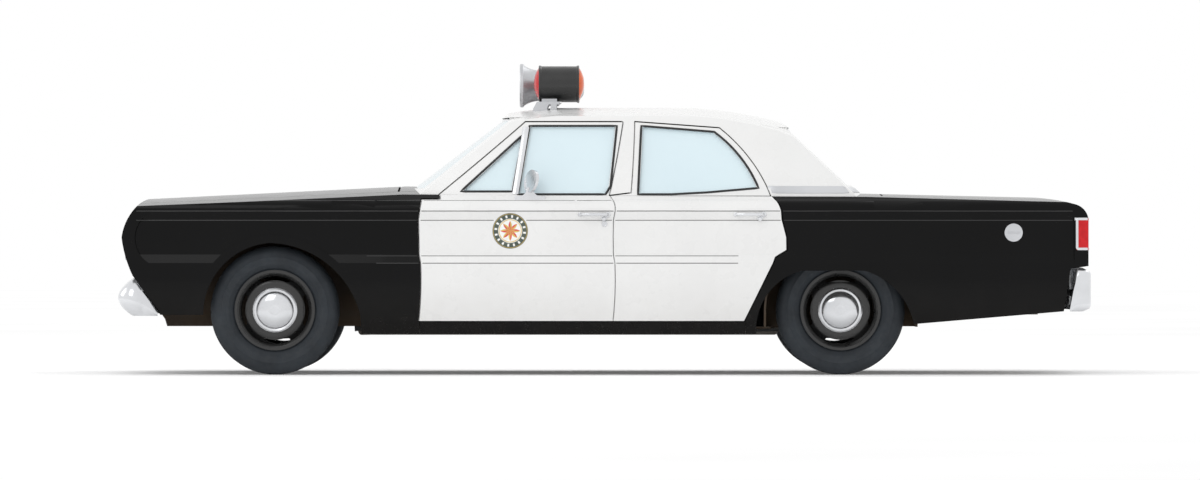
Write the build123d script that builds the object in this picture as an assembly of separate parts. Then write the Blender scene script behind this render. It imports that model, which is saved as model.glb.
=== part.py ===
from build123d import *

# Four-door patrol saloon of the nineteen-sixties: an integral body with a sculpted side, hinged
# panels, leaf-sprung rear axle, steered front wheels and a roof bar with two beacons and a siren horn.
#
# Frame: millimetres, +Z up from the floor, the nose towards -X and the driver's side towards -Y.
# The origin is on the floor, midway between the bumpers.

import os
from functools import lru_cache
from math import atan2, cos, degrees, hypot, radians, sin, tan


# Overall driving sizes
OVERALL_LENGTH = 5108.0
FRONT_OVERHANG = 837.0
WHEELBASE = 2946.0
HALF_WIDTH = 970.0
ROOF_TOP = 1400.0
FRONT_TRACK = 1511.0
REAR_TRACK = 1486.0
NOSE_X = -OVERALL_LENGTH / 2
TAIL_X = OVERALL_LENGTH / 2
FRONT_AXLE_X = NOSE_X + FRONT_OVERHANG
REAR_AXLE_X = FRONT_AXLE_X + WHEELBASE

# Gaps and walls
PANEL_GAP = 7.0
HINGE_GAP = 11.0
SEAT_GAP = 0.3
FENDER_WALL = 12.0
LID_WALL = 10.0
ROOF_WALL = 34.0
FRAME_DEPTH = 32.0
GLASS_THICK = 5.0
GLASS_INSET = 14.0

# Wheels
TYRE_RADIUS = 336.0
TYRE_WIDTH = 195.0
RIM_RADIUS = 209.0
RIM_WIDTH = 150.0
CAP_RADIUS = 116.0

# Body side, seen from ahead: half widths at named heights
SIDE_BOW = 35000.0
BELT_Z = 936.0
CREASE_Z = 912.0
SHOULDER_Z = 852.0
PANEL_TOP_Z = 808.0
PANEL_LOW_Z = 626.0
SKIRT_TOP_Z = 582.0
DOOR_LOW_Z = 281.0
SILL_Z = 213.0
BELT_W = 880.0
CREASE_W = 915.0
SHOULDER_W = 956.0
PANEL_W = 946.0
SKIRT_W = 966.0
DOOR_LOW_W = 944.0
SILL_W = 915.0
INNER_TRIM_W = 860.0

# Cabin, seen from ahead: the glass leans in from the belt to the rail
RAIL_Z = 1316.0
RAIL_W = 700.0
CABIN_BOW = 16000.0
CABIN_MID_X = 80.0
LEAN = (BELT_W - RAIL_W) / (RAIL_Z - BELT_Z)
SKEW = 0.45
SKETCH_W = 1100.0


def outline(plane, start, *steps):
    """A face whose edge takes straight steps (an end) and arc steps (a point passed, an end)."""
    edges = []
    here = start
    for step in steps:
        if isinstance(step[0], tuple):
            edges.append(ThreePointArc(here, step[0], step[1]))
            here = step[1]
        else:
            edges.append(Line(here, step))
            here = step
    if here != start:
        edges.append(Line(here, start))
    return make_face([plane * edge for edge in edges])


# Sketch planes: AHEAD has x outward on the driver's side, LEVEL is a plan, FLANK is the side view
AHEAD = Plane(origin=(0, 0, 0), x_dir=(0, -1, 0), z_dir=(-1, 0, 0))
FLANK = Plane(origin=(0, 0, 0), x_dir=(1, 0, 0), z_dir=(0, -1, 0))
LEVEL = Plane.XY


def block(x, y, z):
    """A box between pairs of limits."""
    centre = ((x[0] + x[1]) / 2, (y[0] + y[1]) / 2, (z[0] + z[1]) / 2)
    return Pos(*centre) * Box(abs(x[1] - x[0]), abs(y[1] - y[0]), abs(z[1] - z[0]))


def other_side(shape):
    return mirror(shape, about=Plane.XZ)


def both(shape):
    """A shape with its mirror image across the car, as solids that don't touch."""
    return Compound(children=[*shape.solids(), *other_side(shape).solids()])


def bowed(face, centre, half_angle):
    """A side-view or end-view section swung about an upright axis."""
    axis = Axis(centre, (0, 0, 1))
    return revolve(face, axis, 2 * half_angle).rotate(axis, -half_angle)


# Body envelope

FAR = 1500.0
DEEP = -100.0


def side_solid(inset, recessed):
    """Everything inboard of the driver's side skin, with or without its sculpted recess."""
    steps = [(SILL_W, SILL_Z), (DOOR_LOW_W, DOOR_LOW_Z), ((SKIRT_W + 2, 430), (SKIRT_W, SKIRT_TOP_Z))]
    if recessed:
        steps += [(PANEL_W + 2, PANEL_LOW_Z), ((PANEL_W, 715), (PANEL_W - 5, PANEL_TOP_Z))]
    steps += [(SHOULDER_W, SHOULDER_Z), ((946, 886), (CREASE_W, CREASE_Z)), (BELT_W, BELT_Z)]
    steps += [(700, 1060), (-FAR, 1060), (-FAR, DEEP)]
    face = Pos(0, inset, 0) * outline(AHEAD, (800, DEEP), *steps)
    return bowed(face, (0, SIDE_BOW - HALF_WIDTH, 0), 6)


# Upper surface of the bonnet and boot: station, height on the centreline, height at the edge
CROWN_EDGE = 900.0
CROWN_REACH = 1200.0
CROWN_TABLE = (
    (-2650.0, 906.0, 866.0),
    (-1050.0, 985.0, 934.0),
    (1350.0, 947.0, 925.0),
    (2650.0, 917.0, 890.0),
)


def crown_solid(inset):
    """Everything under the crowned upper surface."""
    sections = []
    for x, middle, edge in CROWN_TABLE:
        plane = Plane(origin=(x, 0, 0), x_dir=(0, -1, 0), z_dir=(-1, 0, 0))
        top = middle - inset
        low = top - (middle - edge) * (CROWN_REACH / CROWN_EDGE) ** 2
        sections.append(outline(
            plane, (-CROWN_REACH, low), ((0, top), (CROWN_REACH, low)), (CROWN_REACH, DEEP), (-CROWN_REACH, DEEP)
        ))
    return loft(sections, ruled=True)


NOSE_BOW = 20000.0
TAIL_BOW = 26000.0
NOSE_PEAK = (-2532.0, 714.0)
TAIL_PEAK = (2533.0, 810.0)


@lru_cache
def nose_solid(inset):
    """Everything behind the nose, bowed in plan."""
    face = outline(
        FLANK, (-2402, 918), ((-2478, 848), NOSE_PEAK), ((-2512, 615), (-2475, 517)), (-2322, 300), (-2200, DEEP),
        (3200, DEEP), (3200, 1300), (-2250, 1300), (-2250, 928),
    )
    return bowed(Pos(inset, 0, -inset) * face, (NOSE_PEAK[0] + NOSE_BOW, 0, 0), 6)


def tail_solid(inset):
    """Everything ahead of the tail, bowed in plan."""
    face = outline(
        FLANK, (2128, 950), (2128, 930), ((2330, 917), (2460, 889)), ((2512, 858), TAIL_PEAK), (2533, 566), (2440, 552), (2400, 300),
        (2300, DEEP), (-3200, DEEP), (-3200, 1300), (2128, 1300),
    )
    return bowed(Pos(-inset, 0, -inset) * face, (TAIL_PEAK[0] - TAIL_BOW, 0, 0), 4)


@lru_cache
def body_solid(inset, recessed=False):
    """The whole lower body as one envelope, set in by a wall."""
    side = side_solid(inset, recessed)
    return side & other_side(side) & crown_solid(inset) & nose_solid(inset) & tail_solid(inset)


# Cabin envelope

SCREEN_LOW = (-991.0, 1000.0)
SCREEN_HIGH = (-522.0, 1358.0)
SCREEN_BOW = 3200.0
LIGHT_HIGH = (951.0, 1314.0)
LIGHT_LOW = (1350.0, 947.0)
LIGHT_BOW = 6000.0
ROOF_CROWN = 4300.0


def lean_w(z):
    """Half width of the cabin's side at a height, at its widest station."""
    return BELT_W - LEAN * (z - BELT_Z)


def skin_w(x, z):
    """Half width of the outer skin, on a cabin side above the belt and on the body side below it."""
    if z > BELT_Z:
        return lean_w(z) - (x - CABIN_MID_X) ** 2 / (2 * CABIN_BOW)
    return SHOULDER_W - x**2 / (2 * SIDE_BOW)


@lru_cache
def cabin_side(inset):
    """Everything inboard of the leaning driver's side of the cabin."""
    low = 800.0
    mid = (BELT_Z + RAIL_Z) / 2
    face = outline(
        AHEAD, (lean_w(low), low), (BELT_W, BELT_Z), ((lean_w(mid) + 7, mid), (RAIL_W, RAIL_Z)),
        ((672, 1342), (600, 1358)), (560, 1500), (-FAR, 1500), (-FAR, low),
    )
    return bowed(Pos(0, inset * hypot(1, LEAN), 0) * face, (CABIN_MID_X, CABIN_BOW - BELT_W, 0), 10)


def roof_profile(inset):
    """Everything under the roof's line, swung about a long axis far below it."""
    face = outline(
        FLANK, (-700, 1325), ((-400, 1387), (-243, ROOF_TOP)), (376, ROOF_TOP), ((655, 1381), (920, 1326)),
        (1500, 1100), (1500, 600), (-1500, 600), (-1500, 1100),
    )
    axis = Axis((0, 0, ROOF_TOP - ROOF_CROWN), (1, 0, 0))
    return revolve(Pos(0, 0, -inset) * face, axis, 32).rotate(axis, -16)


def slanted_end(low, high, bow, inward, inset, half_angle):
    """Everything on one side of a slanted line in side view, bowed in plan."""
    (x0, z0), (x1, z1) = low, high
    slope = (x1 - x0) / (z1 - z0)
    far = inward * 1800
    face = outline(
        FLANK, (x0 - slope * 300, z0 - 300), (x1 + slope * 200, z1 + 200), (far, z1 + 200), (far, z0 - 300)
    )
    shift = inward * inset * hypot(1, slope)
    return bowed(Pos(shift, 0, 0) * face, (x0 + inward * bow, 0, 0), half_angle)


@lru_cache
def cabin_solid(inset):
    """The whole cabin above the belt as one envelope, set in by a wall."""
    side = cabin_side(inset)
    screen = slanted_end(SCREEN_LOW, SCREEN_HIGH, SCREEN_BOW, 1, inset, 58)
    light = slanted_end(LIGHT_LOW, LIGHT_HIGH, LIGHT_BOW, -1, inset, 16)
    return side & other_side(side) & roof_profile(inset) & screen & light


# Openings, drawn in side view on the driver's side where the skin is

FRONT_DOOR = (
    (-956, DOOR_LOW_Z), (-956, 831), ((-949, 880), (-929, 911)), (-830, 911), (-816, BELT_Z), (-410, RAIL_Z),
    (94, RAIL_Z), (57, BELT_Z), (47, 721), (47, DOOR_LOW_Z),
)
REAR_DOOR = (
    (53, DOOR_LOW_Z), (53, 721), (64, 930), (142, 944), (162, RAIL_Z), (598, 1284), ((728, 1154), (840, 980)),
    (948, 715), (948, 650), (887, 614), ((812, 470), (730, DOOR_LOW_Z)),
)
VENT_OPENING = ((-735, 958), (-428, 1243), (-482, 958))
FRONT_WINDOW = ((-446, 944), (-387, 1292), (60, 1292), (22, 944))
REAR_WINDOW = ((179, 944), (197, 1292), (570, 1261), ((690, 1148), (795, 976)), (533, 954), (348, 944))


def skewed(point):
    """Where a side-view point lies on the sketch plane, for a cut that slants forward as it goes in."""
    x, z = point
    return (x + SKEW * (SKETCH_W - skin_w(x, z)), z)


def side_cut(points, gap=0.0, reach=640.0):
    """A slanting cut through the driver's side, inside an outline grown by a gap."""
    steps = [tuple(skewed(p) for p in s) if isinstance(s[0], tuple) else skewed(s) for s in points]
    plane = Plane(origin=(0, -SKETCH_W, 0), x_dir=(1, 0, 0), z_dir=(0, -1, 0))
    face = outline(plane, *steps)
    if gap:
        face = offset(face, amount=gap, kind=Kind.ARC)
    slant = Vector(-SKEW, 1, 0)
    return extrude(face, amount=reach * slant.length, dir=slant.normalized())


def ring(shape_at, outer, inner):
    """The wall between two insets of an envelope."""
    return shape_at(outer) - shape_at(inner)


def across(*steps):
    """A side-view outline pushed right across the car."""
    return extrude(outline(FLANK, *steps), amount=FAR, both=True)


# Sculpted recess along the side, with the raised flare over the front wheel

RECESS_OUTLINE = (
    (-2330, 860), ((-2444, 714), (-2300, 560)), (-2300, 500), (2400, 500), ((2435, 520), (2445, 560)), (2445, 790),
    ((2424, 841), (2372, 860)),
)
FRONT_ARCH = ((-2090, 100), (-2087, 312), ((-1991, 563), (-1743, 686)), ((-1450, 585), (-1269, 314)), (-1258, 100))
FRONT_FLARE = ((-2150, 100), (-2128, 312), ((-2029, 590), (-1743, 728)), ((-1424, 618), (-1228, 330)), (-1216, 100))
REAR_ARCH = (
    (787, 100), (789, 260), ((852, 428), (1030, 542)), (1353, 542), ((1528, 428), (1609, 264)), (1640, 100),
)


def skin_solid():
    """The outer body with the recess sunk into both sides."""
    plain = side_solid(0, False)
    dip = (plain - side_solid(0, True)) & across(*RECESS_OUTLINE)
    dip -= across(*FRONT_FLARE)
    return body_solid(0) - dip - other_side(dip)


SKIN = skin_solid()
INNER = body_solid(FENDER_WALL, True)
SHELL = SKIN - INNER

# Plan outlines of the lids

HOOD_W = 690.0
HOOD_REAR_X = -1080.0
HOOD_PIVOT_Z = 978.0
LID_PIVOT_Z = 939.0
LID_HINGE_W = 110.0
DOOR_HINGE_X = (-921.0, 98.0)
HINGE_HALF = 36.0
HINGE_W = (-922.0, -872.0)
HOOD_LOW_Z = 816.0
LID_W = 660.0
LID_FRONT_X = 1455.0
LID_LOW_Z = 640.0
FIREWALL_X = -1060.0
SILL_END_X = 733.0
SILL_START_X = -960.0
CLEAR_Z = 1200.0


def lid_block(x, half_width, low):
    return block(x, (-half_width, half_width), (low, CLEAR_Z))


def hood_cut(gap):
    """Space of the bonnet, with its running gap all round."""
    rear = HOOD_REAR_X + (HINGE_GAP if gap else 0)
    return lid_block((NOSE_X - 100, rear), HOOD_W + gap, HOOD_LOW_Z - gap)


def boot_cut(gap):
    """Space of the boot lid, with its running gap all round."""
    front = LID_FRONT_X - (HINGE_GAP if gap else 0)
    return lid_block((front, TAIL_X + 100), LID_W + gap, LID_LOW_Z - gap)


GRILLE_W = 780.0
GRILLE_LOW_Z = 545.0
GRILLE_HIGH_Z = 806.0
TAIL_LAMP_X = 2455.0
TAIL_LAMP_W = 720.0
TAIL_LAMP_Z = (650.0, 816.0)


def lamp_block(grow):
    """Corner block of the driver's side tail lamp."""
    low, high = TAIL_LAMP_Z
    return block((TAIL_LAMP_X - grow, TAIL_X + 50), (-1000, grow - TAIL_LAMP_W), (low - grow, high + grow))


def front_panels():
    """Both front wings with the nose between them, in one welded piece."""
    wing = SHELL & block((NOSE_X - 50, -780), (-1000, 1000), (150, CLEAR_Z))
    wing -= across(*FRONT_ARCH)
    wing -= across((-2700, 0), (-2700, 250), (-2380, 312), (-2087, 312), (-2087, 0))
    wing -= across((-1300, 0), (-1300, SILL_Z), (-780, SILL_Z), (-780, 0))
    wing -= hood_cut(PANEL_GAP)
    wing -= block((SILL_START_X - 2, 0), (-1100, 1100), (0, DOOR_LOW_Z - PANEL_GAP + 1))
    door = side_cut(FRONT_DOOR, PANEL_GAP)
    wing -= door
    wing -= other_side(door)
    wing -= block((-2700, -2380), (-GRILLE_W, GRILLE_W), (GRILLE_LOW_Z, GRILLE_HIGH_Z))
    wing -= cabin_solid(ROOF_WALL)
    wing -= block((HOOD_REAR_X, -700), (-HOOD_W - PANEL_GAP, HOOD_W + PANEL_GAP), (400, CLEAR_Z))
    return wing


def rear_panels():
    """Both rear quarters, the deck ahead of the lid and the panel below it, in one welded piece."""
    back = SHELL & block((700, TAIL_X + 50), (-1000, 1000), (150, CLEAR_Z))
    back -= across(*REAR_ARCH)
    back -= across((1500, 0), (1609, 264), (2424, 333), (2700, 333), (2700, 0))
    back -= block((0, SILL_END_X + 2), (-1100, 1100), (0, DOOR_LOW_Z - PANEL_GAP + 1))
    back -= across((700, 0), (700, SILL_Z), (800, SILL_Z), (800, 0))
    back -= boot_cut(PANEL_GAP)
    door = side_cut(REAR_DOOR, PANEL_GAP)
    back -= door
    back -= other_side(door)
    lamp = lamp_block(SEAT_GAP)
    back -= lamp
    back -= other_side(lamp)
    back -= cabin_solid(ROOF_WALL)
    edge = LID_FRONT_X - HINGE_GAP
    back += block((edge - 4, LID_FRONT_X - SEAT_GAP), (-LID_HINGE_W, LID_HINGE_W), (932, LID_PIVOT_Z - 0.6))
    return back


def door_shape(points, windows):
    """A driver's side door with its window frame."""
    cut = side_cut(points)
    lower = (SKIN - block((-1500, 1500), (-INNER_TRIM_W, INNER_TRIM_W), (0, CLEAR_Z))) & cut
    lower -= block((-1500, 1500), (-1200, 0), (BELT_Z, CLEAR_Z))
    frame = (cabin_solid(0) - cabin_side(FRAME_DEPTH)) & cut
    frame &= block((-1500, 1500), (-1200, 0), (BELT_Z - 4, 2000))
    whole = lower + frame
    for window in windows:
        whole -= side_cut(window)
    return whole


def glass_shape(windows):
    """The panes of a driver's side door."""
    sheet = ring(cabin_solid, GLASS_INSET, GLASS_INSET + GLASS_THICK)
    return Compound(children=[s for w in windows for s in (sheet & side_cut(w, -SEAT_GAP)).solids()])


# Glazed openings in the ends of the cabin, as seen from ahead or behind

SCREEN_OPENING = ((-742, 972), (-592, 1343), (592, 1343), (742, 972))
LIGHT_OPENING = ((-690, 990), (-560, 1292), (560, 1292), (690, 990))
SCREEN_GLASS = (12.0, 18.0)


def end_cut(points, x, gap=0.0):
    """A cut along the car through an end of the cabin."""
    plane = Plane(origin=(x[0], 0, 0), x_dir=(0, 1, 0), z_dir=(1, 0, 0))
    face = outline(plane, *points)
    if gap:
        face = offset(face, amount=gap, kind=Kind.INTERSECTION)
    return extrude(face, amount=x[1] - x[0], dir=(1, 0, 0))


SCREEN_REACH = (-1300, -330)
LIGHT_REACH = (760, 1500)


def roof_shell():
    """Roof, pillars and window surrounds in one piece."""
    roof = ring(cabin_solid, 0, ROOF_WALL) - body_solid(0)
    for points in (FRONT_DOOR, REAR_DOOR):
        cut = side_cut(points, PANEL_GAP)
        roof -= cut
        roof -= other_side(cut)
    roof -= end_cut(SCREEN_OPENING, SCREEN_REACH)
    roof -= end_cut(LIGHT_OPENING, LIGHT_REACH)
    return heaviest(roof)


def heaviest(shape):
    """The main solid of a cut, without the slivers that it leaves."""
    return max(shape.solids(), key=lambda solid: solid.volume)


def end_glass(points, x):
    return (ring(cabin_solid, *SCREEN_GLASS) & end_cut(points, x, -SEAT_GAP)) - body_solid(0)


def lid(cut, wall, rib_x, rib_y):
    """A lid of the body skin with a frame of ribs pressed below it."""
    skin = (SKIN - body_solid(wall)) & cut
    ribs = (body_solid(wall) - body_solid(wall + RIB_DEPTH)) & cut
    keep = Compound(children=[block(rib_x, (y - RIB_W / 2, y + RIB_W / 2), (0, CLEAR_Z)) for y in rib_y])
    return skin + (ribs & keep)


RIB_DEPTH = 22.0
RIB_W = 70.0


def hood_panel():
    y = HOOD_W - RIB_W
    return lid(hood_cut(0), LID_WALL, (-2380, HOOD_REAR_X - 40), (-y, -y / 3, y / 3, y))


def boot_panel():
    y = LID_W - RIB_W
    return lid(boot_cut(0), LID_WALL, (LID_FRONT_X + 40, 2440), (-y, 0, y))


# Floor and inner structure

FLOOR_Z = 250.0
FLOOR_WALL = 10.0
BOOT_FLOOR_Z = 470.0
FLOOR_W = 760.0
TUNNEL_RADIUS = 170.0
TUNNEL_END_X = 960.0
TOE_X = -1000.0
TOE_TOP_Z = 560.0
KICK_X = 860.0
BOOT_MAT = 4.0
BOOT_MAT_X = (1380.0, 2250.0)
BOOT_MAT_W = 480.0
WHEELHOUSE_RADIUS = 400.0
WHEELHOUSE_W = 590.0
WING_WALL_W = 455.0
RAIL_IN_W = 385.0
POST_X = (40.0, 130.0)
POST_W = (770.0, 824.0)


def across_to(half_width, *steps):
    """A side-view outline pushed out to a half width each way."""
    return extrude(outline(FLANK, *steps), amount=half_width, both=True)


def rod(start, end, radius, end_radius=None):
    """A round bar or cone between two points."""
    a, b = Vector(*start), Vector(*end)
    plane = Plane(origin=a, z_dir=b - a)
    length = (b - a).length
    if end_radius is None or end_radius == radius:
        return plane * Pos(0, 0, length / 2) * Cylinder(radius, length)
    return plane * Pos(0, 0, length / 2) * Cone(radius, end_radius, length)


def wheelhouse_block(radius, inner_w):
    """Arched space over a rear wheel, on the driver's side."""
    arch = rod((REAR_AXLE_X, -1000, TYRE_RADIUS), (REAR_AXLE_X, -inner_w, TYRE_RADIUS), radius)
    skirt = block((REAR_AXLE_X - radius, REAR_AXLE_X + radius), (-1000, -inner_w), (FLOOR_Z, TYRE_RADIUS))
    return (arch & block((0, 2500), (-1100, 0), (TYRE_RADIUS, 2000))) + skirt


def tunnel_rod(radius):
    return rod((-1075, 0, FLOOR_Z), (TUNNEL_END_X, 0, FLOOR_Z), radius)


def rear_houses(grow=0.0):
    """Space of both rear wheelhouses, grown by a clearance."""
    house = wheelhouse_block(WHEELHOUSE_RADIUS + grow, WHEELHOUSE_W - grow)
    return house + other_side(house)


def underbody():
    """Flat cabin floor on both sides of the tunnel."""
    pan = block((TOE_X + SEAT_GAP, KICK_X), (-FLOOR_W, FLOOR_W), (FLOOR_Z - FLOOR_WALL, FLOOR_Z))
    return pan - tunnel_rod(TUNNEL_RADIUS + FLOOR_WALL + SEAT_GAP) - rear_houses(SEAT_GAP)


def toe_board():
    """Slanted end of the floor below the bulkhead."""
    low = FLOOR_Z - FLOOR_WALL
    board = across_to(
        FLOOR_W, (FIREWALL_X, TOE_TOP_Z), (TOE_X, FLOOR_Z), (TOE_X, low), (TOE_X - FLOOR_WALL, low),
        (FIREWALL_X, TOE_TOP_Z - 45),
    )
    return board - tunnel_rod(TUNNEL_RADIUS + FLOOR_WALL + SEAT_GAP)


def tunnel():
    """Arched cover of the gearbox and the propshaft."""
    arch = tunnel_rod(TUNNEL_RADIUS + FLOOR_WALL) - tunnel_rod(TUNNEL_RADIUS)
    return arch & block((FIREWALL_X, TUNNEL_END_X), (-400, 400), (FLOOR_Z - FLOOR_WALL, 2000))


def boot_pan():
    """Step up behind the cabin floor, with the floor of the boot and its mat."""
    t = FLOOR_WALL
    start = KICK_X + SEAT_GAP
    pan = across_to(
        FLOOR_W, (start, FLOOR_Z), (KICK_X + 100, BOOT_FLOOR_Z), (2440, BOOT_FLOOR_Z), (2440, BOOT_FLOOR_Z - t),
        (KICK_X + 105, BOOT_FLOOR_Z - t), (KICK_X + 5, FLOOR_Z - t), (start, FLOOR_Z - t),
    )
    pan += block((1660, 2440), (-900, 900), (BOOT_FLOOR_Z - t, BOOT_FLOOR_Z))
    pan &= INNER
    pan = pan - tunnel_rod(TUNNEL_RADIUS + FLOOR_WALL + SEAT_GAP) - rear_houses(SEAT_GAP)
    return pan + block(BOOT_MAT_X, (-BOOT_MAT_W, BOOT_MAT_W), (BOOT_FLOOR_Z - 1, BOOT_FLOOR_Z + BOOT_MAT))


def wheelhouses():
    """Arches over the rear wheels, with a gap for the axle."""
    t = FLOOR_WALL
    house = wheelhouse_block(WHEELHOUSE_RADIUS, WHEELHOUSE_W)
    hollow = wheelhouse_block(WHEELHOUSE_RADIUS - t, WHEELHOUSE_W + t)
    hollow += hollow.translate((0, 0, -20))
    walls = (house - hollow) & INNER
    walls -= block((REAR_AXLE_X - 80, REAR_AXLE_X + 80), (-700, -500), (0, 430))
    return both(walls)


def inner_wings():
    """Engine bay walls with their rails and the shelves over the front wheels."""
    wall = block((-2390, FIREWALL_X - 12), (-WING_WALL_W - 8, -WING_WALL_W), (250, 840))
    shelf = block((-2180, -1240), (-860, -WING_WALL_W), (760, 768))
    rail = block((-2390, FIREWALL_X - 12), (-WING_WALL_W, -RAIL_IN_W), (250, 340))
    return both((wall + shelf + rail) & INNER)


def cowl():
    """Scuttle panel, bulkhead and the pillars that carry the front doors."""
    front = HOOD_REAR_X + HINGE_GAP
    panel = SHELL & block((front, -760), (-HOOD_W, HOOD_W), (600, CLEAR_Z))
    panel -= cabin_solid(ROOF_WALL)
    panel += block((HOOD_REAR_X + SEAT_GAP, front + 4), (-LID_HINGE_W, LID_HINGE_W), (970, HOOD_PIVOT_Z - 0.6))
    bulkhead = block((FIREWALL_X - 10, FIREWALL_X), (-840, 840), (430, CLEAR_Z))
    pillar = block((FIREWALL_X, -1012), (-880, -800), (DOOR_LOW_Z, 890))
    return panel + (bulkhead & INNER) + both(pillar & INNER)


def side_frames():
    """Sills with the posts between the doors."""
    top = DOOR_LOW_Z - PANEL_GAP
    band = SKIN & block((SILL_START_X, SILL_END_X), (-1000, -FLOOR_W), (SILL_Z, top))
    band -= band_hollow()
    step = block((SILL_START_X, SILL_END_X), (-POST_W[1], -FLOOR_W), (SILL_Z, 330))
    post = block(POST_X, (-POST_W[1], -POST_W[0]), (330, 1000)) - cabin_ring_near_post()
    for x in DOOR_HINGE_X:
        band += block((x - HINGE_HALF, x + HINGE_HALF), HINGE_W, (top - 4, DOOR_LOW_Z - SEAT_GAP))
    return both(band + step + post)


def band_hollow():
    return block((SILL_START_X + 20, SILL_END_X - 20), (-885, -FLOOR_W - 20), (SILL_Z + 10, DOOR_LOW_Z - PANEL_GAP - 10))


def cabin_ring_near_post():
    """Everything outboard of the roof side's inner face."""
    return block((0, 200), (-1000, 0), (900, 1100)) - cabin_side(ROOF_WALL)


def rear_bulkhead():
    """Panel behind the rear seat with the parcel shelf."""
    panel = block((1160, 1170), (-800, 800), (BOOT_FLOOR_Z, 915))
    shelf = block((1160, 1330), (-800, 800), (905, 915))
    house = wheelhouse_block(WHEELHOUSE_RADIUS, WHEELHOUSE_W)
    return (panel + shelf) - house - other_side(house)


# Wheels, drawn at the origin with the outer side towards -Y

HUB_BORE = 18.3
STUB_RADIUS = 18.0
SLOT_RADII = (146.0, 174.0)
SLOT_HALF_ANGLE = 27.0
WHEEL_AXIS = Plane(origin=(0, 0, 0), x_dir=(0, 0, 1), z_dir=(1, 0, 0))
DRUM_RADIUS = 155.0
BACKING_RADIUS = 120.0
DRUM_BACK = 28.0
DISC_W = 22.0


def turned(*steps):
    """A section of radius and outward distance turned about the wheel's axis."""
    face = outline(WHEEL_AXIS, *steps)
    return revolve(face, Axis((0, 0, 0), (0, 1, 0)), 360)


def tyre_shape():
    """Tyre with rounded shoulders and two grooves round the tread."""
    half = TYRE_WIDTH / 2
    bead = RIM_WIDTH / 2 - 7
    r = TYRE_RADIUS
    face = outline(
        WHEEL_AXIS, (RIM_RADIUS - 8, bead), (RIM_RADIUS + 3, bead), ((270, half), (r - 26, half - 14)), (r - 8, half - 26), (r - 2, half - 34),
        ((r, 0), (r - 2, 34 - half)), (r - 8, 26 - half), (r - 26, 14 - half), ((270, -half), (RIM_RADIUS + 3, -bead)),
        (RIM_RADIUS - 8, -bead), (RIM_RADIUS - 8, 30 - bead), (250, 22 - bead), ((r - 18, 0), (250, bead - 22)), (RIM_RADIUS - 8, bead - 30),
    )
    tyre = revolve(face, Axis((0, 0, 0), (0, 1, 0)), 360)
    for w in (-28, 28):
        groove = outline(WHEEL_AXIS, (r - 7, w - 3), (r + 5, w - 3), (r + 5, w + 3), (r - 7, w + 3))
        tyre -= revolve(groove, Axis((0, 0, 0), (0, 1, 0)), 360)
    return tyre


def wheel_shape():
    """Steel rim and slotted disc with the brake drum and the hub cap."""
    edge = RIM_WIDTH / 2
    seat = RIM_RADIUS - 8.3
    rim = turned(
        (RIM_RADIUS, -edge), (RIM_RADIUS, 5 - edge), (seat, 6 - edge), (seat, 34 - edge), (seat - 18, 44 - edge),
        (seat - 18, edge - 62), (seat, edge - 48), (seat, edge - 6), (RIM_RADIUS, edge - 5), (RIM_RADIUS, edge),
        (seat - 6, edge), (seat - 6, edge - 46), (seat - 24, edge - 60), (seat - 24, 42 - edge), (seat - 6, 32 - edge),
        (seat - 6, -edge),
    )
    disc = turned(
        (HUB_BORE, DISC_W - 8), (60, DISC_W - 8), (95, DISC_W + 6), ((130, DISC_W + 16), (165, DISC_W + 4)),
        (seat - 20, DISC_W - 6), (seat - 20, DISC_W - 14), (160, DISC_W - 4), ((130, DISC_W + 8), (100, DISC_W)),
        (60, DISC_W - 16), (HUB_BORE, DISC_W - 16),
    )
    inner, outer = SLOT_RADII
    a = radians(SLOT_HALF_ANGLE)
    for turn in range(4):
        slot = outline(
            Plane(origin=(0, -100, 0), x_dir=(1, 0, 0), z_dir=(0, -1, 0)), (-inner * tan(a), inner),
            (-outer * sin(a), outer * cos(a)), ((0, outer), (outer * sin(a), outer * cos(a))), (inner * tan(a), inner),
        )
        disc -= Rot(0, 90 * turn, 0) * extrude(slot, amount=200, dir=(0, 1, 0))
    drum = turned(
        (HUB_BORE, DISC_W - 16), (DRUM_RADIUS, DISC_W - 16), (DRUM_RADIUS, -DRUM_BACK), (DRUM_RADIUS - 8, -DRUM_BACK),
        (DRUM_RADIUS - 8, DISC_W - 24), (50, DISC_W - 24), (50, -10), (HUB_BORE, -10),
    )
    cap = turned(
        (CAP_RADIUS, DISC_W + 11.5), (CAP_RADIUS, DISC_W + 17), (CAP_RADIUS - 8, DISC_W + 22),
        (CAP_RADIUS - 18, DISC_W + 19), ((60, DISC_W + 40), (20, DISC_W + 45)), (0, DISC_W + 45), (0, DISC_W + 41),
        (20, DISC_W + 41), ((60, DISC_W + 36), (CAP_RADIUS - 20, DISC_W + 14)), (CAP_RADIUS - 8, DISC_W + 11.5),
    )
    return rim + disc + drum + cap


WHEEL_PLACES = (
    ("front_left", FRONT_AXLE_X, -1, FRONT_TRACK),
    ("front_right", FRONT_AXLE_X, 1, FRONT_TRACK),
    ("rear_left", REAR_AXLE_X, -1, REAR_TRACK),
    ("rear_right", REAR_AXLE_X, 1, REAR_TRACK),
)


def at_wheel(shape, x, side, track):
    """A shape drawn at the origin for the driver's side, set at one wheel's place."""
    shape = shape if side < 0 else other_side(shape)
    return Pos(x, side * track / 2, TYRE_RADIUS) * shape


# Front suspension and steering

KINGPIN_W = 700.0
COIL_W = 548.0
BEAM_TOP_Z = 249.7
COIL_RADIUS = 44.0
KINGPIN_Z = (212.0, 460.0)
ARM_END = (150.0, -600.0)
ARM_Z = (232.0, 246.0)
LINK_Z = (217.0, 231.2)
EYE_RADIUS = 16.0


def arm_x(offset):
    return FRONT_AXLE_X + offset


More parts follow.
